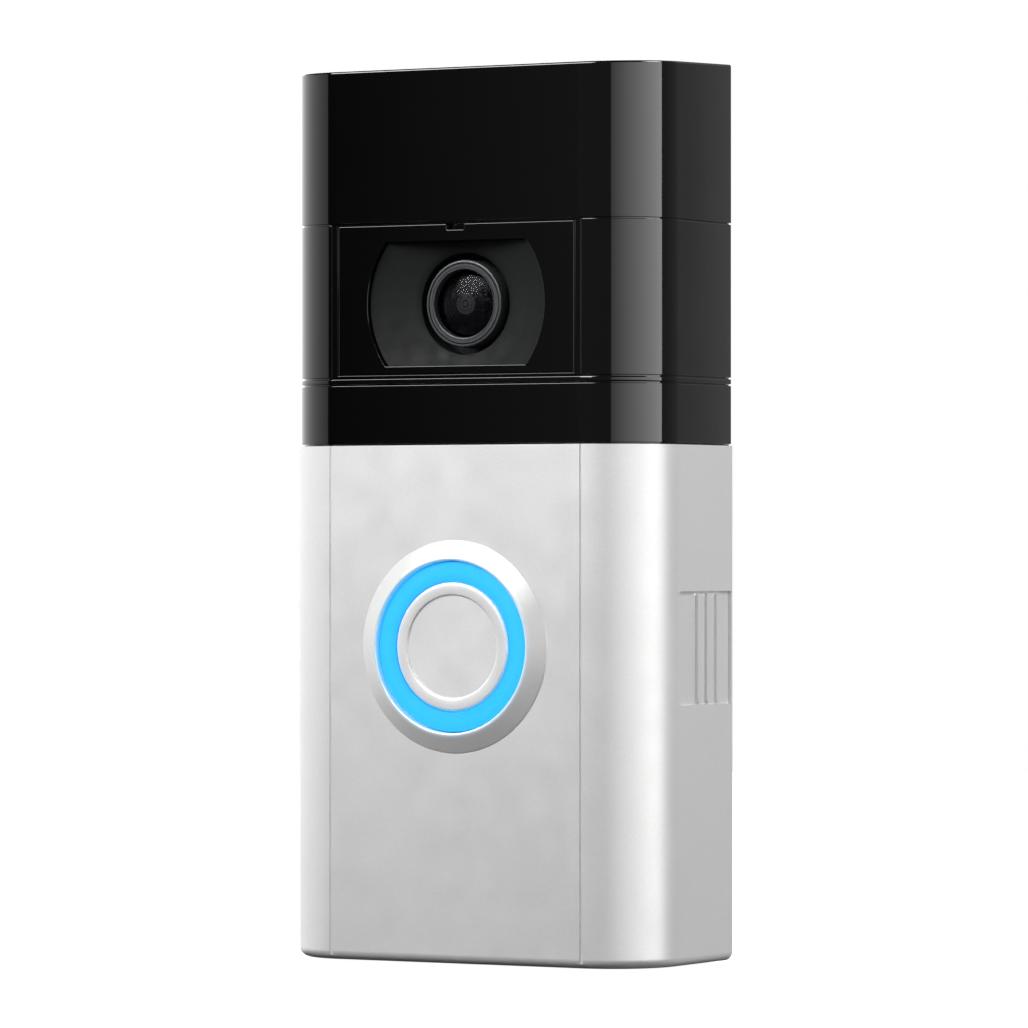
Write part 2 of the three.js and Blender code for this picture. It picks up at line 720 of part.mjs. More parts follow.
function aroundLens(halfWidth, halfHeight) {
  return [
    [-halfWidth, halfWidth],
    [LENS_Z - halfHeight, LENS_Z + halfHeight],
  ];
}

function lensHolder() {
  const front = HOLDER_REAR - HOLDER_THICKNESS;
  const [across, up] = aroundLens(HOLDER_SIZE / 2, HOLDER_SIZE / 2);
  const [cellAcross, cellUp] = aroundLens(SENSOR_WIDTH / 2 + 1, SENSOR_HEIGHT / 2 + 1);
  return cut(
    box(across, [front, HOLDER_REAR], up),
    bar(BARREL_THREAD_RADIUS + SCREW_GAP, front - 1, BARREL_REAR + 0.1, 0, LENS_Z, ROUND),
    box(cellAcross, [BARREL_REAR - 1, HOLDER_REAR + 1], cellUp),
  );
}

function imageSensor() {
  const [across, up] = aroundLens(SENSOR_WIDTH / 2, SENSOR_HEIGHT / 2);
  return box(across, [SENSOR_FRONT, SENSOR_FRONT + SENSOR_THICKNESS], up);
}

function cameraBoard() {
  const [across, up] = aroundLens(CAMERA_BOARD_HALF_WIDTH, CAMERA_BOARD_HALF_HEIGHT);
  const rear = CAMERA_BOARD_FRONT + BOARD_THICKNESS;
  const holes = SIDES.map(([, side]) =>
    bar(SCREW_RADIUS + SCREW_GAP, CAMERA_BOARD_FRONT - 1, rear + 1, side * CAMERA_SCREW_OFFSET, LENS_Z),
  );
  return cut(box(across, [CAMERA_BOARD_FRONT, rear], up), ...holes);
}

// A pan-head screw along Y; its head is at the end that direction points to.
function screwAlongY(x, z, seat, length, direction) {
  const tip = seat - direction * length;
  const crown = seat + direction * SCREW_HEAD_THICKNESS;
  const socket = crown - direction * (SCREW_HEAD_THICKNESS / 2);
  const ordered = (a, b) => [Math.min(a, b), Math.max(a, b)];
  const made = joined(
    bar(SCREW_RADIUS, ...ordered(tip, seat + direction * 0.1), x, z, 12),
    bar(SCREW_HEAD_RADIUS, ...ordered(seat, crown), x, z, 16),
  );
  return cut(made, bar(SCREW_RADIUS, ...ordered(socket, crown + direction), x, z, 6));
}

function infraredLight(x, z) {
  const front = FRONT + WINDOW_THICKNESS + IR_LIGHT_GAP;
  const shoulder = front + IR_LIGHT_RADIUS;
  const rear = CHASSIS_FRONT - REST_GAP;
  const dome = Array.from({ length: 5 }, (_, i) => {
    const angle = (i / 4) * (Math.PI / 2);
    return [IR_LIGHT_RADIUS * Math.sin(angle), shoulder - IR_LIGHT_RADIUS * Math.cos(angle)];
  });
  return turned([...dome, [IR_LIGHT_RADIUS, rear], [0, rear]], x, z, 14);
}

function microphone() {
  const half = MICROPHONE_WIDTH / 2;
  const low = LENS_Z + SHROUD_HALF_HEIGHT + SHROUD_FLANGE + 0.4;
  const y = [FLANGE_FRONT, FLANGE_FRONT + MICROPHONE_THICKNESS];
  const body = box([-half, half], y, [low, low + MICROPHONE_HEIGHT]);
  return cut(body, bar(0.5, y[0] - 1, y[0] + 0.5, 0, low + MICROPHONE_HEIGHT / 2, 8));
}

function camera() {
  piece("lens_shroud", lensShroud(), FINISHES.matteBlack);
  piece("lens_barrel", lensBarrel(), FINISHES.lensMetal);
  piece("lens_retainer", lensRetainer(), FINISHES.lensMetal);
  piece("front_lens", frontLens(), FINISHES.lensGlass);
  piece("lens_iris", lensIris(), FINISHES.lensMetal);
  piece("rear_lens", rearLens(), FINISHES.lensGlass);
  piece("lens_holder", lensHolder(), FINISHES.matteBlack);
  piece("image_sensor", imageSensor(), FINISHES.chip);
  piece("camera_board", cameraBoard(), FINISHES.circuit);
  const seat = CAMERA_BOARD_FRONT + BOARD_THICKNESS + REST_GAP;
  for (const [name, side] of SIDES) {
    const made = screwAlongY(side * CAMERA_SCREW_OFFSET, LENS_Z, seat, SCREW_LENGTH - 1, 1);
    piece("camera_screw_" + name, made, FINISHES.steel);
  }
  lightPlaces().forEach(([x, z], i) => {
    piece("infrared_light_" + (i + 1), infraredLight(x, z), FINISHES.clearLed);
  });
  piece("microphone", microphone(), FINISHES.tin);
}

// ---------------------------------------------------------------- sensor frame and motion sensors

function sensorMiddle() {
  return (TRIM_SEAM + FACEPLATE_SEAM) / 2;
}

function frameScrewPlaces() {
  const x = WIDTH / 2 - SHELL_WALL - POST_INSET;
  const z = HOUSING_TOP - FRAME_SCREW_BELOW_TOP;
  return SIDES.map(([, side]) => [side * x, z]);
}

function chassisPlate(z0, z1) {
  const across = [-CHASSIS_HALF_WIDTH, CHASSIS_HALF_WIDTH];
  const outline = roundedOutline(across, [z0, z1], CHASSIS_CORNER);
  return frontal(outline, CHASSIS_FRONT, CHASSIS_REAR);
}

function sensorFrame() {
  const plate = chassisPlate(FACEPLATE_SEAM + REST_GAP, HOUSING_TOP - REST_GAP);
  const half = SHROUD_RADIUS + SHROUD_FLANGE + 0.6;
  const opening = box(
    [-half, half],
    [CHASSIS_FRONT - 1, CHASSIS_REAR + 1],
    [LENS_Z - SHROUD_HALF_HEIGHT - SHROUD_FLANGE - 0.4,
      LENS_Z + SHROUD_HALF_HEIGHT + SHROUD_FLANGE + MICROPHONE_HEIGHT + 1],
  );
  const standoffs = SIDES.map(([, side]) =>
    bar(STANDOFF_RADIUS, CHASSIS_REAR - 0.5, CAMERA_BOARD_FRONT - REST_GAP,
      side * CAMERA_SCREW_OFFSET, LENS_Z),
  );
  const standoffHoles = SIDES.map(([, side]) =>
    bar(SCREW_RADIUS + SCREW_GAP, CHASSIS_REAR, CAMERA_BOARD_FRONT, side * CAMERA_SCREW_OFFSET, LENS_Z),
  );
  const sensorHoles = SIDES.map(([, side]) =>
    bar(PIR_RADIUS + REST_GAP, CHASSIS_FRONT - 1, CHASSIS_REAR + 1, side * PIR_OFFSET, sensorMiddle()),
  );
  const screwHoles = frameScrewPlaces().map(([x, z]) =>
    bar(SCREW_RADIUS + SCREW_GAP, CHASSIS_FRONT - 1, CHASSIS_REAR + 1, x, z),
  );
  return cut(
    joined(plate, ...standoffs),
    opening, ...standoffHoles, ...sensorHoles, ...screwHoles,
  );
}

function pirBoardFront() {
  return FRONT + SHELL_WALL + MOTION_LENS_THICKNESS + 1 + PIR_LENGTH + REST_GAP;
}

function pirSensor(side) {
  const rear = pirBoardFront() - REST_GAP;
  const front = rear - PIR_LENGTH;
  const body = bar(PIR_RADIUS, front, rear, side * PIR_OFFSET, sensorMiddle(), 24);
  const x = side * PIR_OFFSET;
  const window = box([x - 1.6, x + 1.6], [front - 1, front + 0.3],
    [sensorMiddle() - 1.3, sensorMiddle() + 1.3]);
  return cut(body, window);
}

function pirBoard() {
  const half = (SENSOR_BAND - 1.5) / 2;
  const z = [sensorMiddle() - half, sensorMiddle() + half];
  const y = [pirBoardFront(), pirBoardFront() + BOARD_THICKNESS];
  return box([-PIR_BOARD_HALF_WIDTH, PIR_BOARD_HALF_WIDTH], y, z);
}

function motionLens() {
  const half = (SENSOR_BAND - 1.2) / 2;
  const front = FRONT + SHELL_WALL + REST_GAP;
  const z = [sensorMiddle() - half, sensorMiddle() + half];
  const across = [-MOTION_LENS_HALF_WIDTH, MOTION_LENS_HALF_WIDTH];
  return box(across, [front, front + MOTION_LENS_THICKNESS], z);
}

function motionSensing() {
  piece("sensor_frame", sensorFrame(), FINISHES.matteBlack);
  piece("motion_lens", motionLens(), FINISHES.frosted);
  for (const [name, side] of SIDES) piece("motion_sensor_" + name, pirSensor(side), FINISHES.tin);
  piece("motion_board", pirBoard(), FINISHES.circuit);
  frameScrewPlaces().forEach(([x, z], i) => {
    const made = screwAlongY(x, z, CHASSIS_FRONT - REST_GAP, SCREW_LENGTH, -1);
    piece("frame_screw_" + SIDES[i][0], made, FINISHES.steel);
  });
}

// ---------------------------------------------------------------- rear housing

function columnPlaces() {
  const x = WIDTH / 2 - COLUMN_INSET;
  const heights = [BOTTOM + COLUMN_ABOVE_BOTTOM, FACEPLATE_SEAM - COLUMN_BELOW_SEAM];
  return heights.flatMap((z) => SIDES.map(([, side]) => [side * x, z]));
}

function chassisScrewPlaces() {
  const x = WIDTH / 2 - SHELL_WALL - POST_INSET;
  return CHASSIS_SCREW_HEIGHTS.flatMap((z) => SIDES.map(([, side]) => [side * x, BOTTOM + z]));
}

function rearHousing() {
  const inside = [-WIDTH / 2 + CAVITY_INSET, WIDTH / 2 - CAVITY_INSET];
  const floor = HOUSING_BOTTOM + HOUSING_WALL;
  const shell = upright(planOutline(HOUSING_INSET, 0), HOUSING_BOTTOM, HOUSING_TOP);
  const cavity = upright(planOutline(CAVITY_INSET, -HOUSING_BACK), floor, HOUSING_INSIDE_TOP);
  const tray = cut(
    shell,
    cavity,
    box([-WIDTH, WIDTH], [FRONT - 1, HOUSING_FRONT], [BOTTOM - 1, TOP + 1]),
  );
  const root = -HOUSING_BACK + 0.5;
  const pocketTop = POCKET_BOTTOM + POCKET_HEIGHT;
  const pocketRim = POCKET_HALF_WIDTH + POCKET_WALL;
  const pocketBox = box(
    [-pocketRim, pocketRim],
    [-POCKET_DEPTH - POCKET_WALL, root],
    [POCKET_BOTTOM - POCKET_WALL, pocketTop + POCKET_WALL],
  );
  const pocket = box([-POCKET_HALF_WIDTH, POCKET_HALF_WIDTH], [-POCKET_DEPTH, 1],
    [POCKET_BOTTOM, pocketTop]);
  const bayWalls = SIDES.map(([, side]) => {
    const edges = [side * BAY_HALF_WIDTH, side * (BAY_HALF_WIDTH + BAY_WALL)];
    return box([Math.min(...edges), Math.max(...edges)], [HOUSING_FRONT, root],
      [floor - 0.5, DIVIDER_Z + BAY_WALL]);
  });
  const divider = box([inside[0] - 0.5, inside[1] + 0.5], [HOUSING_FRONT, root],
    [DIVIDER_Z, DIVIDER_Z + BAY_WALL]);
  const shellLimit = upright(planOutline(HOUSING_INSET + 0.1, 0), HOUSING_BOTTOM, HOUSING_TOP);
  const ribs = joined(divider, ...bayWalls).intersect(shellLimit);
  const columns = columnPlaces().map(([x, z]) => bar(COLUMN_RADIUS, HOUSING_FRONT, root, x, z));
  const posts = [...chassisScrewPlaces(), ...frameScrewPlaces()].map(([x, z]) =>
    bar(POST_RADIUS, HOUSING_FRONT, root, x, z, 16),
  );
  const wallScrewHoles = columnPlaces().map(([x, z]) =>
    bar(WALL_SCREW_HOLE_RADIUS, HOUSING_FRONT - 1, 1, x, z),
  );
  const postHoles = [...chassisScrewPlaces(), ...frameScrewPlaces()].map(([x, z]) =>
    bar(SCREW_RADIUS + SCREW_GAP, HOUSING_FRONT - 1, HOUSING_FRONT + SCREW_LENGTH, x, z, 12),
  );
  const mouth = box([-BAY_HALF_WIDTH, BAY_HALF_WIDTH], [HOUSING_FRONT - 1, -HOUSING_BACK],
    [HOUSING_BOTTOM - 1, floor + 1]);
  const contactSlot = box(
    [-CONTACT_HALF_WIDTH - REST_GAP, CONTACT_HALF_WIDTH + REST_GAP],
    [contactRange()[0] - REST_GAP, contactRange()[1] + REST_GAP],
    [DIVIDER_Z - 1, DIVIDER_Z + BAY_WALL + 1],
  );
  return cut(
    joined(tray, pocketBox, ribs, ...columns, ...posts),
    pocket, mouth, contactSlot, ...wallScrewHoles, ...postHoles,
    ...speakerPorts(-WIDTH / 2, -WIDTH / 2 + CAVITY_INSET + 0.5),
  );
}

function terminalBlock() {
  const low = POCKET_BOTTOM + 1;
  const front = -POCKET_DEPTH + REST_GAP;
  const rear = front + TERMINAL_THICKNESS;
  const z = low + TERMINAL_HEIGHT / 2;
  const holes = SIDES.map(([, side]) =>
    bar(TERMINAL_SCREW_RADIUS + SCREW_GAP, front - 1, rear + 1, side * TERMINAL_SCREW_OFFSET, z),
  );
  const rib = box([-0.6, 0.6], [rear - 0.5, rear + TERMINAL_HEAD_THICKNESS],
    [low, low + TERMINAL_HEIGHT]);
  const body = box([-TERMINAL_HALF_WIDTH, TERMINAL_HALF_WIDTH], [front, rear],
    [low, low + TERMINAL_HEIGHT]);
  return cut(joined(body, rib), ...holes);
}

function terminalScrew(side) {
  const x = side * TERMINAL_SCREW_OFFSET;
  const z = POCKET_BOTTOM + 1 + TERMINAL_HEIGHT / 2;
  const seat = -POCKET_DEPTH + TERMINAL_THICKNESS + 2 * REST_GAP;
  const crown = seat + TERMINAL_HEAD_THICKNESS;
  const made = joined(
    bar(TERMINAL_SCREW_RADIUS, seat - TERMINAL_SCREW_LENGTH, seat + 0.1, x, z),
    bar(TERMINAL_HEAD_RADIUS, seat, crown, x, z, 24),
  );
  const reach = TERMINAL_HEAD_RADIUS + 1;
  const slot = [crown - SLOT_DEPTH, crown + 1];
  return cut(
    made,
    box([x - SLOT_WIDTH / 2, x + SLOT_WIDTH / 2], slot, [z - reach, z + reach]),
    box([x - reach, x + reach], slot, [z - SLOT_WIDTH / 2, z + SLOT_WIDTH / 2]),
  );
}

function rear() {
  piece("rear_housing", rearHousing(), FINISHES.matteBlack);
  piece("terminal_block", terminalBlock(), FINISHES.chip);
  for (const [name, side] of SIDES)
    piece("terminal_screw_" + name, terminalScrew(side), FINISHES.steel);
}

// ---------------------------------------------------------------- electronics

function mainBoard() {
  const z = [DIVIDER_Z + BAY_WALL + 1.3, HOUSING_INSIDE_TOP - 0.5];
  return box([-MAIN_BOARD_HALF_WIDTH, MAIN_BOARD_HALF_WIDTH], [MAIN_BOARD_FRONT, MAIN_BOARD_REAR], z);
}

// A folded metal lid over part of the main board.
function shield(side) {
  const inner = 1.5;
  const edges = [side * inner, side * (inner + SHIELD_WIDTH)];
  const across = [Math.min(...edges), Math.max(...edges)];
  const top = HOUSING_INSIDE_TOP - 2.5;
  const up = [top - SHIELD_HEIGHT, top];
  const rear = MAIN_BOARD_FRONT - REST_GAP;
  const sheet = 0.3;
  const inside = [
    [across[0] + sheet, across[1] - sheet],
    [rear - SHIELD_THICKNESS + sheet, rear + 1],
    [up[0] + sheet, up[1] - sheet],
  ];
  return cut(box(across, [rear - SHIELD_THICKNESS, rear], up), box(...inside));
}

function antenna() {
  const top = HOUSING_INSIDE_TOP - 0.6;
  const front = HOUSING_FRONT + 1;
  const z = [top - ANTENNA_THICKNESS, top];
  const sheet = box([-ANTENNA_LENGTH / 2, ANTENNA_LENGTH / 2], [front, front + ANTENNA_WIDTH], z);
  const gap = box([-ANTENNA_LENGTH / 2 + 4, ANTENNA_LENGTH / 2 + 1], [front + 2.5, front + 3.5],
    [z[0] - 1, z[1] + 1]);
  return cut(sheet, gap);
}

function speakerPlace() {
  const left = -WIDTH / 2 + CAVITY_INSET + REST_GAP;
  const middle = (HOUSING_FRONT - HOUSING_BACK) / 2;
  return { left, middle, z: portsMiddle() - SPEAKER_BELOW_PORTS };
}

function speaker() {
  const { left, middle, z } = speakerPlace();
  const y = [middle - SPEAKER_WIDTH / 2, middle + SPEAKER_WIDTH / 2];
  const up = [z - SPEAKER_HEIGHT / 2, z + SPEAKER_HEIGHT / 2];
  const recess = box([left - 1, left + SPEAKER_CONE_DEPTH + REST_GAP], [y[0] + 1, y[1] - 1],
    [up[0] + 1, up[1] - 1]);
  return cut(box([left, left + SPEAKER_THICKNESS], y, up), recess);
}

function speakerCone() {
  const { left, middle, z } = speakerPlace();
  const inset = 1 + REST_GAP;
  return box(
    [left + 0.2, left + SPEAKER_CONE_DEPTH],
    [middle - SPEAKER_WIDTH / 2 + inset, middle + SPEAKER_WIDTH / 2 - inset],
    [z - SPEAKER_HEIGHT / 2 + inset, z + SPEAKER_HEIGHT / 2 - inset],
  );
}

function electronics() {
  piece("main_board", mainBoard(), FINISHES.circuit);
  piece("radio_shield", shield(-1), FINISHES.tin);
  piece("processor_shield", shield(1), FINISHES.tin);
  piece("wifi_antenna", antenna(), FINISHES.copper);
  piece("speaker", speaker(), FINISHES.matteBlack);
  piece("speaker_cone", speakerCone(), FINISHES.rubber);
}

// ---------------------------------------------------------------- battery

function batteryPack() {
  const outline = roundedOutline([-BATTERY_HALF_WIDTH, BATTERY_HALF_WIDTH],
    [BATTERY_FRONT, BATTERY_REAR], BATTERY_CORNER);
  return upright(outline, BATTERY_BOTTOM, BATTERY_TOP);
}

function contactRange() {
  const middle = (BATTERY_FRONT + BATTERY_REAR) / 2;
  return [middle - CONTACT_LENGTH / 2, middle + CONTACT_LENGTH / 2];
}

function batteryContacts() {
  const low = BATTERY_TOP + REST_GAP;
  const foot = box([-CONTACT_HALF_WIDTH, CONTACT_HALF_WIDTH], contactRange(),
    [low, DIVIDER_Z + BAY_WALL + 0.8]);
  const grooves = [-2, 2].map((x) =>
    box([x - 0.4, x + 0.4], contactRange().map((y, i) => y + (i ? 1 : -1)), [low - 1, low + 0.8]),
  );
  return cut(foot, ...grooves);
}

function batteryLatch() {
  const top = BATTERY_BOTTOM - REST_GAP;
  const low = top - LATCH_THICKNESS;
  const across = [-LATCH_HALF_WIDTH, LATCH_HALF_WIDTH];
  const nose = [-LATCH_HALF_WIDTH + 2, LATCH_HALF_WIDTH - 2];
  const body = box(across, [BATTERY_FRONT, BATTERY_FRONT + LATCH_LENGTH], [low, top]);
  const hook = box(nose, [BATTERY_FRONT - LATCH_NOSE, BATTERY_FRONT + 0.5],
    [top - LATCH_NOSE_HEIGHT, top]);
  const grooves = [-4, -2, 0, 2, 4].map((x) =>
    box([x - 0.5, x + 0.5], [BATTERY_FRONT - 1, BATTERY_FRONT + 0.4], [low - 1, low + 1.2]),
  );
  return cut(joined(body, hook), ...grooves);
}

function power() {
  piece("battery_pack", batteryPack(), FINISHES.batteryGrey);
  piece("battery_contacts", batteryContacts(), FINISHES.copper);
  piece("battery_latch", batteryLatch(), FINISHES.matteBlack);
}

// ---------------------------------------------------------------- button chassis and button

function buttonChassis() {
  const plate = chassisPlate(HOUSING_BOTTOM, FACEPLATE_SEAM - REST_GAP);
  const lugFront = FRONT + FACEPLATE_WALL + INNER_GAP;
  const through = [CHASSIS_FRONT - 1, CHASSIS_REAR + 1];
  const lug = box([-LUG_HALF_WIDTH, LUG_HALF_WIDTH], [lugFront, CHASSIS_FRONT + 0.5],
    [HOUSING_BOTTOM, HOUSING_BOTTOM + LUG_HEIGHT]);
  const screwSlot = box(
    [-SECURITY_RADIUS - REST_GAP, SECURITY_RADIUS + REST_GAP],
    [lugFront - 1, SECURITY_Y + SECURITY_RADIUS + REST_GAP],
    [HOUSING_BOTTOM - 1, HOUSING_BOTTOM + LUG_HEIGHT + 1],
  );
  const [nutLow, nutHigh] = nutHeights();
  const nutHalf = NUT_SIZE / 2 + REST_GAP / 2;
  const nutPocket = box([-nutHalf, nutHalf], [lugFront - 1, SECURITY_Y + nutHalf],
    [nutLow - REST_GAP / 2, nutHigh + REST_GAP / 2]);
  const latchTop = BATTERY_BOTTOM - REST_GAP;
  const noseHalf = LATCH_HALF_WIDTH - 2 + REST_GAP;
  const hookWindow = box([-noseHalf, noseHalf], [CHASSIS_FRONT + 0.4, CHASSIS_REAR + 1],
    [latchTop - LATCH_NOSE_HEIGHT - REST_GAP, latchTop + REST_GAP]);
  const driverHoles = columnPlaces().map(([x, z]) => bar(WALL_SCREW_HOLE_RADIUS + 1, ...through, x, z));
  const screwHoles = chassisScrewPlaces().map(([x, z]) =>
    bar(SCREW_RADIUS + SCREW_GAP, ...through, x, z, 12),
  );
  return cut(
    joined(plate, lug),
    bar(CARRIER_RADIUS + REST_GAP, ...through, 0, BUTTON_Z, ROUND),
    bar(SETUP_RADIUS + RUNNING_GAP, ...through, SETUP_X, SETUP_Z),
    screwSlot, nutPocket, hookWindow, ...driverHoles, ...screwHoles,
  );
}

function buttonCarrier() {
  const floorFront = RING_BOARD_REAR + REST_GAP;
  return turned(
    [
      [CARRIER_BORE_RADIUS, CARRIER_FRONT],
      [CARRIER_RADIUS, CARRIER_FRONT],
      [CARRIER_RADIUS, CARRIER_FLANGE_FRONT],
      [CARRIER_RADIUS + CARRIER_FLANGE, CARRIER_FLANGE_FRONT],
      [CARRIER_RADIUS + CARRIER_FLANGE, CARRIER_FLANGE_REAR],
      [CARRIER_RADIUS, CARRIER_FLANGE_REAR],
      [CARRIER_RADIUS, CARRIER_REAR],
      [CARRIER_CABLE_HOLE_RADIUS, CARRIER_REAR],
      [CARRIER_CABLE_HOLE_RADIUS, floorFront],
      [CARRIER_BORE_RADIUS, floorFront],
    ],
    0, BUTTON_Z,
  );
}

function buttonGasket() {
  const rear = CARRIER_FLANGE_FRONT - REST_GAP;
  const inner = CARRIER_RADIUS + 0.4;
  return turned(
    [[inner, rear - GASKET_THICKNESS], [inner + GASKET_WIDTH, rear - GASKET_THICKNESS],
      [inner + GASKET_WIDTH, rear], [inner, rear]],
    0, BUTTON_Z,
  );
}

function capFlangeRadius() {
  return LIGHT_RING_BORE_RADIUS + CAP_FLANGE;
}

function lightRing() {
  const flangeFront = LIGHT_RING_REAR - LIGHT_RING_FLANGE_THICKNESS;
  const step = CAP_REAR - CAP_FLANGE_THICKNESS - REST_GAP;
  const wideBore = capFlangeRadius() + REST_GAP;
  const rim = LIGHT_RING_RADIUS - RUNNING_GAP;
  return turned(
    [
      [LIGHT_RING_BORE_RADIUS, LIGHT_RING_FRONT],
      [rim, LIGHT_RING_FRONT],
      [rim, flangeFront],
      [rim + LIGHT_RING_FLANGE, flangeFront],
      [rim + LIGHT_RING_FLANGE, LIGHT_RING_REAR],
      [wideBore, LIGHT_RING_REAR],
      [wideBore, step],
      [LIGHT_RING_BORE_RADIUS, step],
    ],
    0, BUTTON_Z,
  );
}

function buttonCap() {
  const flangeFront = CAP_REAR - CAP_FLANGE_THICKNESS;
  const underside = LIGHT_RING_FRONT + CAP_DISC_DEPTH + CAP_WALL;
  const shell = turned(
    [
      [0, LIGHT_RING_FRONT + CAP_DISC_DEPTH],
      [CAP_DISC_RADIUS, LIGHT_RING_FRONT + CAP_DISC_DEPTH],
      [CAP_DISC_RADIUS, LIGHT_RING_FRONT],
      [CAP_RADIUS, LIGHT_RING_FRONT],
      [CAP_RADIUS, flangeFront],
      [capFlangeRadius(), flangeFront],
      [capFlangeRadius(), CAP_REAR],
      [CAP_RADIUS - CAP_WALL, CAP_REAR],
      [CAP_RADIUS - CAP_WALL, underside],
      [0, underside],
    ],
    0, BUTTON_Z,
  );
  return joined(shell, bar(CAP_STEM_RADIUS, underside - 0.2, CAP_REAR, 0, BUTTON_Z));
}

function switchPlunger() {
  return bar(PLUNGER_RADIUS, PLUNGER_FRONT, PLUNGER_FRONT + PLUNGER_LENGTH, 0, BUTTON_Z, 16);
}

function buttonSwitch() {
  const half = SWITCH_SIZE / 2;
  const body = box([-half, half], [SWITCH_FRONT, SWITCH_FRONT + SWITCH_THICKNESS],
    [BUTTON_Z - half, BUTTON_Z + half]);
  const depth = PLUNGER_INSIDE + BUTTON_TRAVEL + 0.2;
  const well = bar(PLUNGER_RADIUS + RUNNING_GAP, SWITCH_FRONT - 1, SWITCH_FRONT + depth, 0, BUTTON_Z, 16);
  return cut(body, well);
}

function ringLightBoard() {
  const radius = CARRIER_BORE_RADIUS - REST_GAP;
  const board = bar(radius, RING_BOARD_FRONT, RING_BOARD_REAR, 0, BUTTON_Z, ROUND);
  const middle = (LIGHT_RING_RADIUS + capFlangeRadius()) / 2;
  const half = RING_LIGHT_SIZE / 2;
  const lights = Array.from({ length: RING_LIGHTS }, (_, i) => {
    const angle = (i / RING_LIGHTS) * 2 * Math.PI;
    const x = middle * Math.cos(angle);
    const z = BUTTON_Z + middle * Math.sin(angle);
    return box([x - half, x + half], [RING_BOARD_FRONT - RING_LIGHT_THICKNESS, RING_BOARD_FRONT + 0.2],
      [z - half, z + half]);
  });
  return joined(board, ...lights);
}

function setupButton() {
  const flangeFront = CHASSIS_REAR + REST_GAP;
  return turned(
    [
      [0, CHASSIS_FRONT - SETUP_PROUD],
      [SETUP_RADIUS, CHASSIS_FRONT - SETUP_PROUD],
      [SETUP_RADIUS, flangeFront],
      [SETUP_RADIUS + SETUP_FLANGE, flangeFront],
      [SETUP_RADIUS + SETUP_FLANGE, flangeFront + SETUP_FLANGE_THICKNESS],
      [0, flangeFront + SETUP_FLANGE_THICKNESS],
    ],
    SETUP_X, SETUP_Z, SMALL_ROUND,
  );
}

function button() {
  piece("button_chassis", buttonChassis(), FINISHES.matteBlack);
  piece("button_carrier", buttonCarrier(), FINISHES.matteBlack);
  piece("button_gasket", buttonGasket(), FINISHES.rubber);
  piece("light_ring", lightRing(), FINISHES.blueLight);
  piece("ring_light_board", ringLightBoard(), FINISHES.circuit);
  piece("button_cap", buttonCap(), FINISHES.satinSilver);
  piece("button_switch", buttonSwitch(), FINISHES.chip);
  piece("switch_plunger", switchPlunger(), FINISHES.rubber);
  piece("setup_button", setupButton(), FINISHES.setupOrange);
  chassisScrewPlaces().forEach(([x, z], i) => {
    const made = screwAlongY(x, z, CHASSIS_FRONT - REST_GAP, SCREW_LENGTH, -1);
    piece("chassis_screw_" + (i + 1), made, FINISHES.steel);
  });
}

// ---------------------------------------------------------------- faceplate

function gripPockets() {
  const face = WIDTH / 2 + FACEPLATE_PROUD;
  const rear = -WALL_GAP - GRIP_REAR_LIP;
  const top = FACEPLATE_SEAM - GRIP_BELOW_SEAM;
  const pockets = [];
  for (const [, side] of SIDES) {
    const edges = [side * (face - GRIP_DEPTH), side * (face + 1)];
    const across = [Math.min(...edges), Math.max(...edges)];
    const ribs = Array.from({ length: GRIP_RIBS }, (_, i) => {
      const end = -GRIP_RIB_REAR - i * GRIP_RIB_PITCH;
      return box(across, [end - GRIP_RIB_WIDTH, end], [top - GRIP_HEIGHT - 1, top + 1]);
    });
    pockets.push(cut(box(across, [rear - GRIP_LENGTH, rear], [top - GRIP_HEIGHT, top]), ...ribs));
  }
  return pockets;
}

function faceplateOutside() {
  const top = FACEPLATE_SEAM - SEAM / 2;
  const radius = FACEPLATE_EDGE_RADIUS;
  const half = WIDTH / 2 + FACEPLATE_PROUD;
  const front = FRONT - FACEPLATE_PROUD;
  const fromSide = new THREE.Shape();
  fromSide.moveTo(1, BOTTOM);
  fromSide.lineTo(1, top);
  fromSide.lineTo(front, top);
  fromSide.lineTo(front, BOTTOM + radius);
  fromSide.absarc(front + radius, BOTTOM + radius, radius, Math.PI, 1.5 * Math.PI, false);
  fromSide.closePath();
  const fromFront = new THREE.Shape();
  fromFront.moveTo(half, top);
  fromFront.lineTo(-half, top);
  fromFront.lineTo(-half, BOTTOM + radius);
  fromFront.absarc(-half + radius, BOTTOM + radius, radius, Math.PI, 1.5 * Math.PI, false);
  fromFront.lineTo(half - radius, BOTTOM);
  fromFront.absarc(half - radius, BOTTOM + radius, radius, 1.5 * Math.PI, 2 * Math.PI, false);
  fromFront.closePath();
  return upright(planOutline(-FACEPLATE_PROUD, -WALL_GAP), BOTTOM, top)
    .intersect(sideways(fromSide, -WIDTH, WIDTH))
    .intersect(frontal(fromFront, FRONT - 1, 0));
}

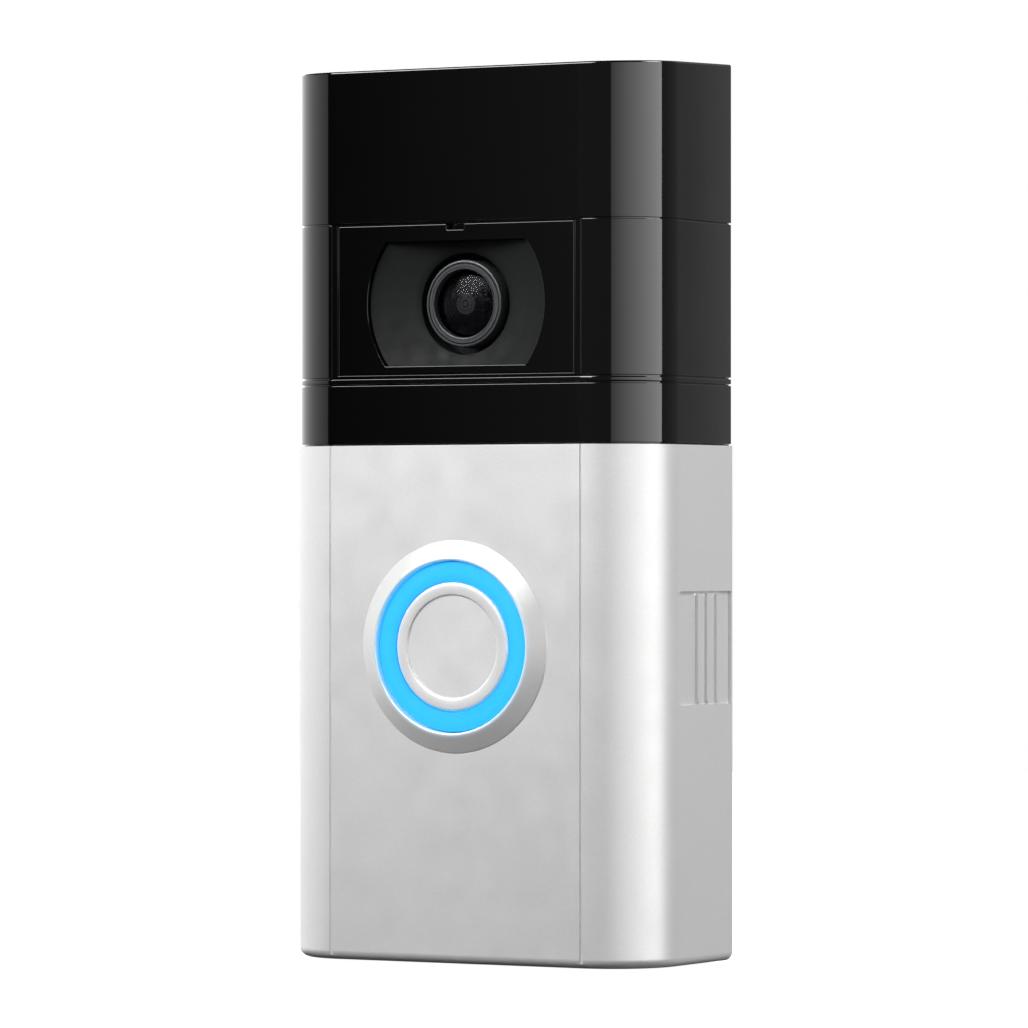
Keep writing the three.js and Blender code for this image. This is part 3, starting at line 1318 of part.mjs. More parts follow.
function faceplate() {
  const top = FACEPLATE_SEAM - SEAM / 2;
  const front = FRONT - FACEPLATE_PROUD;
  const inside = upright(planOutline(FACEPLATE_WALL - FACEPLATE_PROUD, 0),
    BOTTOM + FACEPLATE_FLOOR, top + 1);
  const hole = LIGHT_RING_RADIUS + RUNNING_GAP;
  const bezel = turned(
    [[0, front - BEZEL_RISE], [hole + BEZEL_RIM, front - BEZEL_RISE], [BEZEL_RADIUS, front],
      [BEZEL_RADIUS, front + 0.5], [0, front + 0.5]],
    0, BUTTON_Z,
  );
  const lines = SIDES.map(([, side]) => {
    const x = side * LINE_OFFSET;
    return box([x - LINE_WIDTH / 2, x + LINE_WIDTH / 2], [front - 1, front + LINE_DEPTH],
      [BOTTOM - 1, top + 1]);
  });
  return cut(
    joined(cut(faceplateOutside(), inside), bezel),
    bar(hole, front - BEZEL_RISE - 1, FRONT + FACEPLATE_WALL + 1, 0, BUTTON_Z, ROUND),
    uprightBar(SECURITY_RADIUS + SCREW_GAP, BOTTOM - 1, BOTTOM + FACEPLATE_FLOOR + 1, 0, SECURITY_Y),
    uprightBar(SECURITY_HEAD_RADIUS + SCREW_GAP, BOTTOM - 1, securitySeat(), 0, SECURITY_Y),
    ...lines, ...gripPockets(),
  );
}

function securitySeat() {
  return BOTTOM + SECURITY_HEAD_THICKNESS + 0.2;
}

function nutHeights() {
  const low = HOUSING_BOTTOM + LUG_FLOOR;
  return [low, low + NUT_THICKNESS];
}

function securityScrew() {
  const seat = securitySeat() - SCREW_GAP;
  const crown = seat - SECURITY_HEAD_THICKNESS;
  const made = joined(
    uprightBar(SECURITY_HEAD_RADIUS, crown, seat, 0, SECURITY_Y),
    uprightBar(SECURITY_RADIUS, seat - 0.1, seat + SECURITY_LENGTH, 0, SECURITY_Y, 16),
  );
  return cut(made, uprightBar(SECURITY_SOCKET_RADIUS, crown - 1, crown + SECURITY_SOCKET_DEPTH,
    0, SECURITY_Y, 6));
}

function securityNut() {
  const half = NUT_SIZE / 2;
  const [low, high] = nutHeights();
  return cut(
    box([-half, half], [SECURITY_Y - half, SECURITY_Y + half], [low, high]),
    uprightBar(SECURITY_RADIUS + SCREW_GAP, low - 1, high + 1, 0, SECURITY_Y, 16),
  );
}

function front() {
  piece("faceplate", faceplate(), FINISHES.satinSilver);
  piece("security_screw", securityScrew(), FINISHES.steel);
  piece("security_nut", securityNut(), FINISHES.steel);
}

// ---------------------------------------------------------------- assembly

blackShells();
camera();
motionSensing();
rear();
electronics();
power();
button();
front();

export default doorbell;
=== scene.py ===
# %% [markdown]
# # A battery video doorbell
# The real object is a slim upright box for a house wall: black gloss shells with a camera window above,
# a satin faceplate below, and a round button in a glowing ring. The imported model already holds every
# part at its true place, so this lesson only makes the surfaces that are seen, piece by piece.

# %% Load the fixed frame and keep its size
import json
import math

import bmesh
import bpy
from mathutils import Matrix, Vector


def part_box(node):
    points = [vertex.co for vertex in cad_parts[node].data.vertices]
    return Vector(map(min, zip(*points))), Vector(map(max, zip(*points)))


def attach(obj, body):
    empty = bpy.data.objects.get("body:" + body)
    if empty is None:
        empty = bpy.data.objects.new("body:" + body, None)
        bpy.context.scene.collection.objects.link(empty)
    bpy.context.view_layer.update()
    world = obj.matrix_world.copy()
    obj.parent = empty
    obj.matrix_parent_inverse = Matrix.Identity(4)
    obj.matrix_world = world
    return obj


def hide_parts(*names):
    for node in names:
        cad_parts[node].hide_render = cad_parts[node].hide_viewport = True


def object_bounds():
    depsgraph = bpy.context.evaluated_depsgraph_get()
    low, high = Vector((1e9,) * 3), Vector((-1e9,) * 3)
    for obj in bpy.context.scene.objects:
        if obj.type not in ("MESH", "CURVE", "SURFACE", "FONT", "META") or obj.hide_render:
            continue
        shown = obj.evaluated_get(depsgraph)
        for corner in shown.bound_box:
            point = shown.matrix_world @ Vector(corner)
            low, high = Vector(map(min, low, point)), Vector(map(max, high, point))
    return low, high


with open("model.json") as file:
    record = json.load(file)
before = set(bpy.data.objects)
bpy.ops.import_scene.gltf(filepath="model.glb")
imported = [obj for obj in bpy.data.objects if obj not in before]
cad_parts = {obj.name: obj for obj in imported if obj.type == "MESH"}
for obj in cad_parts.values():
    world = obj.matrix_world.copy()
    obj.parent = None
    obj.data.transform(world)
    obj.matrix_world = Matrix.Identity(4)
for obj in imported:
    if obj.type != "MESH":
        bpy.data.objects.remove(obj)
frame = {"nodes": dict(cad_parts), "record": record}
nodes = frame["nodes"]
cad_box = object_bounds()
MM = 0.001
print("the frame holds", len(nodes), "parts")

# %% [markdown]
# ## The camera
# A long lens about a metre away, to the right and level with the doorbell, keeps its uprights parallel.
# The camera has a fixed place and is aimed by two angles, a turn and a slight lift. The other way, a
# Track To constraint, would leave the aim to a helper object.

# %% Camera
CAMERA_PLACE = Vector((0.4583, -0.8057, -0.0037))
CAMERA_TURN = 0.5226
CAMERA_LIFT = 0.0043
CAMERA_LENS = 218.4

heading = Vector((-math.sin(CAMERA_TURN), math.cos(CAMERA_TURN), math.tan(CAMERA_LIFT)))
camera_data = bpy.data.cameras.new("camera")
camera_data.lens = CAMERA_LENS
camera_data.sensor_width = 36.0
camera_data.clip_end = 50.0
camera = bpy.data.objects.new("camera", camera_data)
bpy.context.scene.collection.objects.link(camera)
camera.location = CAMERA_PLACE
camera.rotation_euler = heading.to_track_quat("-Z", "Y").to_euler()
bpy.context.scene.camera = camera
print("camera distance", round(CAMERA_PLACE.length, 3), "m")

# %% [markdown]
# ## Helpers for modelling as by hand
# Every new piece starts as a primitive, and is shaped in edit mode. An operator acts on whatever is
# selected, so each helper first deselects everything. Faces and edges are picked by where they are.

# %% Selecting and editing helpers
def only(piece):
    if bpy.context.object and bpy.context.object.mode != "OBJECT":
        bpy.ops.object.mode_set(mode="OBJECT")
    bpy.ops.object.select_all(action="DESELECT")
    piece.select_set(True)
    bpy.context.view_layer.objects.active = piece


def settle(name):
    """Names the primitive just added and puts its place into its mesh."""
    piece = bpy.context.object
    piece.name = name
    piece.data.name = name
    only(piece)
    bpy.ops.object.transform_apply(location=True, rotation=True, scale=True)
    return piece


def block(name, low, high):
    """A cube primitive between two corners."""
    bpy.ops.object.select_all(action="DESELECT")
    low, high = Vector(low), Vector(high)
    bpy.ops.mesh.primitive_cube_add(size=1, location=(low + high) / 2, scale=high - low)
    return settle(name)


def drum(name, radius, front, rear, x, z, sides=96):
    """A cylinder primitive whose axis runs from front to rear."""
    bpy.ops.object.select_all(action="DESELECT")
    bpy.ops.mesh.primitive_cylinder_add(
        vertices=sides, radius=radius, depth=rear - front,
        location=(x, (front + rear) / 2, z), rotation=(math.pi / 2, 0, 0),
    )
    return settle(name)


def pick(piece, kind, test):
    """In edit mode, selects only the faces or edges that pass the test."""
    only(piece)
    bpy.ops.object.mode_set(mode="EDIT")
    bpy.ops.mesh.select_mode(type={"faces": "FACE", "edges": "EDGE"}[kind])
    bpy.ops.mesh.select_all(action="DESELECT")
    mesh = bmesh.from_edit_mesh(piece.data)
    chosen = [part for part in getattr(mesh, kind) if test(part)]
    for part in chosen:
        part.select_set(True)
    bmesh.update_edit_mesh(piece.data)
    return len(chosen)


def leave_edit():
    bpy.ops.object.mode_set(mode="OBJECT")


def apply(piece, kind, **settings):
    """Adds a modifier, sets it and applies it."""
    only(piece)
    modifier = piece.modifiers.new(kind.lower(), kind)
    for key, value in settings.items():
        setattr(modifier, key, value)
    bpy.ops.object.modifier_apply(modifier=modifier.name)


def carve(piece, cutter):
    """Cuts with another solid, which is used up."""
    apply(piece, "BOOLEAN", object=cutter, operation="DIFFERENCE", solver="EXACT")
    bpy.data.objects.remove(cutter)


def smooth(piece, degrees=32):
    only(piece)
    bpy.ops.object.shade_smooth_by_angle(angle=math.radians(degrees))


def soften(piece, width, segments=2, degrees=35):
    """Rounds the sharp edges, keeps the flats flat, and shades the result smooth."""
    apply(
        piece, "BEVEL", width=width, segments=segments, limit_method="ANGLE",
        angle_limit=math.radians(degrees), use_clamp_overlap=True, miter_outer="MITER_ARC",
    )
    smooth(piece)
    apply(piece, "WEIGHTED_NORMAL", keep_sharp=True, weight=80)


def even(piece, degrees=40):
    """Shades a turned piece smooth, with each flat face's own direction held."""
    smooth(piece, degrees)
    apply(piece, "WEIGHTED_NORMAL", keep_sharp=True, weight=100)


def tidy(piece):
    """Merges doubles and turns the faces outwards."""
    only(piece)
    bpy.ops.object.mode_set(mode="EDIT")
    bpy.ops.mesh.select_all(action="SELECT")
    bpy.ops.mesh.remove_doubles(threshold=1e-6)
    bpy.ops.mesh.normals_make_consistent(inside=False)
    leave_edit()


def ringed(name, rings, x, z, sides=128, centre=None):
    """A turned piece: a circle extruded from ring to ring, each ring [radius, y] in millimetres.
    It closes on its first ring, or at a point on its axis where centre gives the y."""
    (radius, y), *rest = rings
    bpy.ops.object.select_all(action="DESELECT")
    bpy.ops.mesh.primitive_circle_add(
        vertices=sides, radius=radius * MM, location=(x, y * MM, z), rotation=(math.pi / 2, 0, 0),
    )
    piece = settle(name)
    bpy.ops.object.mode_set(mode="EDIT")
    bpy.ops.mesh.select_all(action="SELECT")
    steps = [*rest, rings[0]] if centre is None else rest
    for next_radius, next_y in steps:
        move = (0, (next_y - y) * MM, 0)
        bpy.ops.mesh.extrude_region_move(TRANSFORM_OT_translate={"value": move})
        share = next_radius / radius
        bpy.ops.transform.resize(value=(share, 1, share), center_override=(x, next_y * MM, z))
        radius, y = next_radius, next_y
    if centre is not None:
        bpy.ops.mesh.extrude_region_move(
            TRANSFORM_OT_translate={"value": (0, (centre - y) * MM, 0)}
        )
        bpy.ops.mesh.merge(type="CENTER")
        pick(piece, "edges", lambda e: e.is_boundary)
        bpy.ops.mesh.edge_face_add()
    leave_edit()
    tidy(piece)
    return piece


def fit(piece, body, slot, materials, *stands_for):
    """Hangs a finished piece on its body, with its finish and the part that it stands for."""
    piece.data.materials.clear()
    for material in materials if isinstance(materials, (list, tuple)) else [materials]:
        piece.data.materials.append(material)
    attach(piece, body)
    if stands_for:
        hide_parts(*stands_for)
    print(piece.name, len(piece.data.polygons), "faces")
    return piece


# %% [markdown]
# ## Helpers for the finishes
# A finish is a small network: a few noise textures at the real size of the grain, which move the
# roughness, the colour and a bump. What is the same all over is set on the shader's own socket.

# %% Material helpers
class Finish:
    """A Principled material whose patterns read Object coordinates."""

    def __init__(self, name, colour, roughness, metallic=0.0, **sockets):
        self.material = bpy.data.materials.new(name)
        self.material.use_nodes = True
        self.nodes = self.material.node_tree.nodes
        self.links = self.material.node_tree.links
        self.shader = self.nodes["Principled BSDF"]
        self.place = self.nodes.new("ShaderNodeTexCoord").outputs["Object"]
        self.set("Base Color", (*colour, 1.0))
        self.set("Roughness", roughness)
        self.set("Metallic", metallic)
        for socket, value in sockets.items():
            self.set(socket.replace("_", " "), value)

    def set(self, socket, value):
        self.shader.inputs[socket].default_value = value

    def stretched(self, scale):
        mapping = self.nodes.new("ShaderNodeMapping")
        mapping.inputs["Scale"].default_value = scale
        self.links.new(self.place, mapping.inputs["Vector"])
        return mapping.outputs["Vector"]

    def noise(self, scale, detail=3.0, stretch=None):
        node = self.nodes.new("ShaderNodeTexNoise")
        node.inputs["Scale"].default_value = scale
        node.inputs["Detail"].default_value = detail
        self.links.new(self.stretched(stretch) if stretch else self.place, node.inputs["Vector"])
        return node.outputs["Fac"]

    def cells(self, scale, output="Distance"):
        node = self.nodes.new("ShaderNodeTexVoronoi")
        node.inputs["Scale"].default_value = scale
        self.links.new(self.place, node.inputs["Vector"])
        return node.outputs[output]

    def ramp(self, factor, stops):
        node = self.nodes.new("ShaderNodeValToRGB")
        first, last = node.color_ramp.elements
        (first.position, low), (last.position, high) = stops[0], stops[-1]
        first.color, last.color = (*low, 1.0), (*high, 1.0)
        for position, colour in stops[1:-1]:
            node.color_ramp.elements.new(position).color = (*colour, 1.0)
        self.links.new(factor, node.inputs["Fac"])
        return node.outputs["Color"]

    def range(self, value, low, high, start=0.3, end=0.7):
        node = self.nodes.new("ShaderNodeMapRange")
        node.inputs["From Min"].default_value = start
        node.inputs["From Max"].default_value = end
        node.inputs["To Min"].default_value = low
        node.inputs["To Max"].default_value = high
        self.links.new(value, node.inputs["Value"])
        return node.outputs["Result"]

    def drive(self, socket, output):
        self.links.new(output, self.shader.inputs[socket])

    def bump(self, *heights):
        """Bumps from [height output, depth in metres] pairs, one on top of the other."""
        before = None
        for output, depth in heights:
            node = self.nodes.new("ShaderNodeBump")
            node.inputs["Distance"].default_value = depth
            node.inputs["Strength"].default_value = 1.0
            self.links.new(output, node.inputs["Height"])
            if before:
                self.links.new(before, node.inputs["Normal"])
            before = node.outputs["Normal"]
        self.links.new(before, self.shader.inputs["Normal"])

    def from_axis(self, x, z, near, far):
        """0 at radius near to 1 at radius far from an axis that runs from front to rear."""
        mapping = self.nodes.new("ShaderNodeMapping")
        mapping.inputs["Location"].default_value = (-x, 0, -z)
        mapping.inputs["Scale"].default_value = (1, 0, 1)
        self.links.new(self.place, mapping.inputs["Vector"])
        length = self.nodes.new("ShaderNodeVectorMath")
        length.operation = "LENGTH"
        self.links.new(mapping.outputs["Vector"], length.inputs[0])
        return self.range(length.outputs["Value"], 0.0, 1.0, near, far)


# %% [markdown]
# ## Black gloss
# The upper shells are moulded in black and polished. A real gloss moulding isn't a mirror: it has a very
# shallow waviness a few millimetres across, a faint film that changes its roughness, and a few specks of
# dust. Those three are what separate it from a flat black.

# %% Gloss black finishes
def gloss_finish(name, colour, wave_depth):
    made = Finish(name, colour, 0.06, IOR=1.5, Coat_Weight=0.5, Coat_Roughness=0.03)
    film = made.noise(60.0, 4.0)
    specks = made.cells(900.0)
    made.drive("Roughness", made.range(film, 0.035, 0.085))
    made.drive("Base Color", made.ramp(specks, [(0.0, (0.02, 0.02, 0.022)), (0.05, colour), (1.0, colour)]))
    made.bump((made.noise(160.0, 2.0), wave_depth), (made.noise(2400.0, 2.0), 0.0000006))
    return made.material


gloss_black = gloss_finish("gloss_black_shell", (0.0012, 0.0012, 0.0014), 0.000004)
window_black = gloss_finish("camera_window_black", (0.001, 0.001, 0.0012), 0.000002)
print("made", gloss_black.name, "and", window_black.name)

# %% [markdown]
# ## Satin nickel paint
# The faceplate and the button cap are moulded, then sprayed with a metallic paint: tiny flakes in a clear
# binder. Under a soft lamp the flakes sparkle a little and the surface has a fine orange peel. A metal
# shader with broken-up roughness and a cell pattern of flakes gives that. A smooth metal would look
# like polished steel instead.

# %% Satin nickel finish
def nickel_finish(name, colour, roughness, glow=None):
    made = Finish(name, colour, roughness, 0.4, IOR=1.5)
    flakes = made.cells(5200.0, "Color")
    mottle = made.noise(240.0, 5.0)
    split = made.nodes.new("ShaderNodeSeparateColor")
    made.links.new(flakes, split.inputs["Color"])
    darker = tuple(value * 0.975 for value in colour)
    lighter = tuple(min(1.0, value * 1.02) for value in colour)
    made.drive("Base Color", made.ramp(split.outputs["Red"], [(0.0, darker), (1.0, lighter)]))
    made.drive("Roughness", made.range(mottle, roughness - 0.03, roughness + 0.04))
    made.bump((made.noise(700.0, 3.0), 0.000006), (split.outputs["Green"], 0.0000012))
    # Near the light ring a cyan emission is put on the paint: painted light that stands in for the ring's
    # glow falling on the bezel and the cap. The paint itself doesn't glow.
    if glow:
        x, z, near, far = glow
        painted_ring_light = [(0.0, (0.02, 0.36, 0.62)), (0.35, (0.006, 0.11, 0.19)), (1.0, (0.0, 0.0, 0.0))]
        made.drive("Emission Color", made.ramp(made.from_axis(x, z, near, far), painted_ring_light))
        made.set("Emission Strength", 0.6)
    return made.material


ring_low, ring_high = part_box("light_ring")
ring_z = (ring_low.z + ring_high.z) / 2
satin_nickel = nickel_finish("satin_nickel_paint", (0.76, 0.76, 0.757), 0.38)
# The bezel and the cap get the ring's light painted on as emission by radius: painted light, brightest next
# to the ring and fading away from it.
bezel_nickel = nickel_finish("bezel_nickel_paint", (0.74, 0.74, 0.737), 0.38,
                             (0, ring_z, 12.5 * MM, 13.5 * MM))
cap_nickel = nickel_finish("button_cap_nickel", (0.8, 0.8, 0.8), 0.4,
                           (0, ring_z, 9.4 * MM, 8.5 * MM))
print("made", satin_nickel.name, "and", cap_nickel.name)

# %% [markdown]
# ## The wrap-round shells
# Each shell is the same outline: a front, two rounded corners and two sides that run back to the wall. The
# outline could be drawn as a curve and extruded, but a cube whose rear, top and bottom faces are deleted
# and whose front uprights are bevelled gives the same shape in four steps, with clean quads. Solidify
# then gives it a wall, and a small bevel lets the seam edges catch the light.

# %% Shell helper
CORNER_RADIUS = 10.7 * MM
SHELL_WALL = 1.8 * MM
SEAM_ROUND = 0.08 * MM


def near(value, target):
    return abs(value - target) < 1e-6


def wrap(name, low, high, radius, keep=()):
    """An open wrap-round sheet between two corners; keep names the end faces that stay."""
    piece = block(name, low, high)
    drop = [Vector((0, 1, 0))]
    if "top" not in keep:
        drop.append(Vector((0, 0, 1)))
    if "bottom" not in keep:
        drop.append(Vector((0, 0, -1)))
    pick(piece, "faces", lambda f: any(f.normal.dot(way) > 0.9 for way in drop))
    bpy.ops.mesh.delete(type="FACE")
    leave_edit()
    front = Vector(low).y
    pick(piece, "edges", lambda e: all(near(v.co.y, front) for v in e.verts)
         and near(e.verts[0].co.x, e.verts[1].co.x))
    bpy.ops.mesh.bevel(offset=radius, offset_type="OFFSET", segments=28, profile=0.5, affect="EDGES")
    leave_edit()
    return piece


def walled(piece, thickness, edge_round=SEAM_ROUND):
    apply(piece, "SOLIDIFY", thickness=thickness, offset=-1.0, use_even_offset=True, use_rim=True)
    tidy(piece)
    soften(piece, edge_round, 2)


# %% [markdown]
# ### Lips inside the seams
# A thin seam that went right through would let daylight in at the sides. Real shells overlap there, with
# a thin lip inside each joint. The same wrap-round sheet, a hair thinner than the gap and set in from the
# outside, closes the joint and leaves a fine dark groove.

# %% Lip helper
SEAM_GAP = 0.24 * MM
LIP_INSET = 0.4 * MM
LIP_DEPTH = 1.5 * MM


def join(piece, other):
    only(piece)
    other.select_set(True)
    bpy.ops.object.join()


def add_lip(piece, low, high, under):
    """A lip in the seam just under the height given."""
    top, bottom = under - 0.03 * MM, under - SEAM_GAP + 0.03 * MM
    lip = wrap("lip", (low.x + LIP_INSET, low.y + LIP_INSET, bottom),
               (high.x - LIP_INSET, high.y, top), CORNER_RADIUS - LIP_INSET)
    apply(lip, "SOLIDIFY", thickness=LIP_DEPTH, offset=-1.0, use_even_offset=True)
    tidy(lip)
    smooth(lip)
    join(piece, lip)


# %% [markdown]
# ### Upper cover
# The top shell has a roof that climbs slightly towards the wall, so that rain runs off to the front, and
# a small round along its top edge. Slots for the speaker are cut in its left side.

# %% Upper cover
ROOF_ROUND = 0.3 * MM
ROOF_RISE = 0.9 * MM
SLOT_STEPS = range(-2, 3)
SLOT_PITCH = 2.2 * MM
SLOT_Y = -11.3 * MM
SLOT_ABOVE_SEAM = 6.9 * MM
SLOT_HALF_LENGTH, SLOT_HALF_HEIGHT = 4.5 * MM, 0.55 * MM


def cut_speaker_slots(piece, low):
    for step in SLOT_STEPS:
        z = low.z + SLOT_ABOVE_SEAM + step * SLOT_PITCH
        slot = block("slot", (low.x - 0.001, SLOT_Y - SLOT_HALF_LENGTH, z - SLOT_HALF_HEIGHT),
                     (low.x + 0.003, SLOT_Y + SLOT_HALF_LENGTH, z + SLOT_HALF_HEIGHT))
        pick(slot, "edges", lambda e: abs(e.verts[0].co.x - e.verts[1].co.x) > 0.001)
        bpy.ops.mesh.bevel(offset=SLOT_HALF_HEIGHT - 0.00001, segments=6, affect="EDGES")
        leave_edit()
        carve(piece, slot)


def make_upper_cover():
    low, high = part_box("upper_cover")
    roof = high.z - ROOF_RISE
    piece = wrap("upper_shell", low, (high.x, high.y, roof), CORNER_RADIUS, keep=("top",))
    pick(piece, "edges", lambda e: all(near(v.co.z, roof) for v in e.verts)
         and not all(near(v.co.y, high.y) for v in e.verts))
    bpy.ops.mesh.bevel(offset=ROOF_ROUND, segments=5, profile=0.5, affect="EDGES")
    leave_edit()
    for vertex in piece.data.vertices:
        if vertex.co.z > roof - ROOF_ROUND - 1e-6:
            vertex.co.z += ROOF_RISE * (vertex.co.y - low.y) / (high.y - low.y)
    apply(piece, "SOLIDIFY", thickness=SHELL_WALL, offset=-1.0, use_even_offset=True)
    tidy(piece)
    cut_speaker_slots(piece, low)
    soften(piece, SEAM_ROUND, 2)
    add_lip(piece, low, high, low.z)
    return fit(piece, "housing", "gloss_black", gloss_black, "upper_cover")


make_upper_cover()

# %% [markdown]
# ### Camera cover, trim band and sensor cover
# The three lower black shells are plain bands. The camera cover's front is open between the two upright
# lines, where the camera frame sits, and a plate behind that opening carries the frame.

# %% Three bands
def make_band(name, node):
    low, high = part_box(node)
    piece = wrap(name, low, high, CORNER_RADIUS)
    walled(piece, SHELL_WALL)
    add_lip(piece, low, high, low.z)
    return fit(piece, "housing", "gloss_black", gloss_black, node)


def make_camera_cover():
    low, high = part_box("camera_cover")
    frame_low, frame_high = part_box("camera_frame")
    piece = wrap("camera_shell", low, high, CORNER_RADIUS)
    apply(piece, "SOLIDIFY", thickness=SHELL_WALL, offset=-1.0, use_even_offset=True)
    tidy(piece)
    gap = 0.12 * MM
    opening = block("opening", (frame_low.x - gap, low.y - 0.001, low.z - 0.001),
                    (frame_high.x + gap, low.y + 0.004, high.z + 0.001))
    carve(piece, opening)
    plate = block("plate", (low.x + 0.0075, frame_high.y + 0.3 * MM, low.z),
                  (high.x - 0.0075, frame_high.y + 1.5 * MM, high.z))
    window_low, window_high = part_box("lens_shroud")
    carve(plate, block("way", (window_low.x, -1, window_low.z), (window_high.x, 1, window_high.z)))
    soften(piece, SEAM_ROUND, 2)
    soften(plate, SEAM_ROUND, 1)
    join(piece, plate)
    add_lip(piece, low, high, low.z)
    return fit(piece, "housing", "gloss_black", gloss_black, "camera_cover")


make_camera_cover()
make_band("trim_shell", "trim_band")
make_band("sensor_shell", "sensor_cover")

# %% [markdown]
# ### Camera frame and window
# The window is a flat gloss panel in a thin frame, so that two fine lines show on either side of it. Its
# opening is a circle cut flat above and below: a cylinder bisected twice makes the cutter. A shallow
# notch in its top edge is the microphone's port.

# %% Camera frame and window
LENS = (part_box("front_lens")[0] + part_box("front_lens")[1]) / 2
OPENING_RADIUS = 14.85 * MM
OPENING_HALF = 9.05 * MM
LINE_GAP = 0.12 * MM


def flat_sided_drum(name, radius, half, front, rear):
    piece = drum(name, radius, front, rear, 0, LENS.z, 160)
    for way in (1, -1):
        only(piece)
        bpy.ops.object.mode_set(mode="EDIT")
        bpy.ops.mesh.select_all(action="SELECT")
        bpy.ops.mesh.bisect(plane_co=(0, 0, LENS.z + way * half), plane_no=(0, 0, way),
                            use_fill=True, clear_outer=True)
        leave_edit()
    return piece


def make_camera_frame():
    low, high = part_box("camera_frame")
    panel_low, panel_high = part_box("camera_window")
    piece = block("window_frame", low, high)
    pocket = block("pocket", (panel_low.x - LINE_GAP, low.y - 0.001, panel_low.z - LINE_GAP),
                   (panel_high.x + LINE_GAP, low.y + 1.5 * MM, panel_high.z + LINE_GAP))
    carve(piece, pocket)
    carve(piece, flat_sided_drum("way", OPENING_RADIUS + 0.3 * MM, OPENING_HALF + 0.3 * MM, -0.04, 0))
    soften(piece, 0.1 * MM, 3)
    return fit(piece, "housing", "gloss_black", gloss_black, "camera_frame")


def make_camera_window():
    low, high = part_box("camera_window")
    piece = block("window_panel", low, high)
    carve(piece, flat_sided_drum("opening", OPENING_RADIUS, OPENING_HALF, low.y - 0.001, high.y + 0.001))
    notch = block("notch", (-1.5 * MM, low.y - 0.001, high.z - 0.85 * MM),
                  (1.5 * MM, high.y + 0.001, high.z + 0.001))
    pick(notch, "edges", lambda e: all(near(v.co.z, high.z - 0.85 * MM) for v in e.verts)
         and near(e.verts[0].co.x, e.verts[1].co.x))
    bpy.ops.mesh.bevel(offset=0.25 * MM, segments=4, affect="EDGES")
    leave_edit()
    carve(piece, notch)
    soften(piece, 0.1 * MM, 3)
    return fit(piece, "housing", "window_black", window_black, "camera_window")


make_camera_frame()
make_camera_window()

# %% [markdown]
# ## The faceplate
# The faceplate wraps the lower half: front, sides and floor, with a round along its bottom edge. The same
# cube-and-bevel start is used, with its bottom face kept. The button's hole, the two fine upright lines, the
# grip pockets and the screw's recess are cut afterwards, because a cut in a finished wall has true edges.

# %% Faceplate
FACEPLATE_WALL = 1.3 * MM
BOTTOM_ROUND = 1.4 * MM
BUTTON = (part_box("light_ring")[0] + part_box("light_ring")[1]) / 2
HOLE_RADIUS = 12.48 * MM
LINE_X = 21 * MM
LINE_WIDTH = 0.5 * MM
LINE_DEPTH = 0.2 * MM
GRIP_LOW, GRIP_HIGH = -27.4 * MM, -11.0 * MM
GRIP_REAR = -0.8 * MM
GRIP_FRONT = -16.4 * MM
GRIP_DEPTH = 0.45 * MM
RIB_WIDTH, RIB_PITCH, RIB_COUNT = 1.4 * MM, 2.9 * MM, 3
RIB_FIRST = -11.0 * MM


def grip_cutter(side, face):
    """The pocket of one grip, with its ribs left standing."""
    reach = sorted((side * (face - GRIP_DEPTH), side * (face + 0.002)))
    pocket = block("grip", (reach[0], GRIP_FRONT, GRIP_LOW), (reach[1], GRIP_REAR, GRIP_HIGH))
    for count in range(RIB_COUNT):
        start = RIB_FIRST + count * RIB_PITCH
        inner = sorted((side * (face - GRIP_DEPTH - 0.001), side * (face + 0.003)))
        rib = block("rib", (inner[0], start, GRIP_LOW + 0.3 * MM),
                    (inner[1], start + RIB_WIDTH, GRIP_HIGH - 0.3 * MM))
        pick(rib, "edges", lambda e: abs(e.verts[0].co.x - e.verts[1].co.x) > 0.001)
        bpy.ops.mesh.bevel(offset=0.45 * MM, segments=4, affect="EDGES")
        leave_edit()
        carve(pocket, rib)
    return pocket


def make_faceplate():
    low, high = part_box("faceplate")
    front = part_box("camera_cover")[0].y - 0.2 * MM
    low = Vector((low.x, front, low.z))
    piece = wrap("faceplate_shell", low, high, CORNER_RADIUS + 0.2 * MM, keep=("bottom",))
    pick(piece, "edges", lambda e: all(near(v.co.z, low.z) for v in e.verts)
         and not all(near(v.co.y, high.y) for v in e.verts))
    bpy.ops.mesh.bevel(offset=BOTTOM_ROUND, segments=8, profile=0.5, affect="EDGES")
    leave_edit()
    apply(piece, "SOLIDIFY", thickness=FACEPLATE_WALL, offset=-1.0, use_even_offset=True)
    tidy(piece)
    carve(piece, drum("hole", HOLE_RADIUS, front - 0.001, front + 0.003, 0, BUTTON.z, 128))
    screw = (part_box("security_screw")[0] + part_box("security_screw")[1]) / 2
    bpy.ops.object.select_all(action="DESELECT")
    bpy.ops.mesh.primitive_cylinder_add(vertices=48, radius=2.05 * MM, depth=0.004,
                                        location=(screw.x, screw.y, low.z))
    carve(piece, settle("recess"))
    for side in (-1, 1):
        x = side * LINE_X
        carve(piece, block("line", (x - LINE_WIDTH / 2, front - 0.001, low.z - 0.001),
                           (x + LINE_WIDTH / 2, front + LINE_DEPTH, high.z + 0.001)))
        carve(piece, grip_cutter(side, high.x))
    soften(piece, 0.07 * MM, 2)
    return fit(piece, "faceplate", "satin_nickel", satin_nickel, "faceplate")


make_faceplate()

# %% [markdown]
# ### The bezel
# The raised cone round the button is part of the faceplate, but it is modelled as its own ring: a circle
# extruded from ring to ring up the cone, over the rim and down inside. That keeps its round even, which a
# boolean join with the flat front would not.

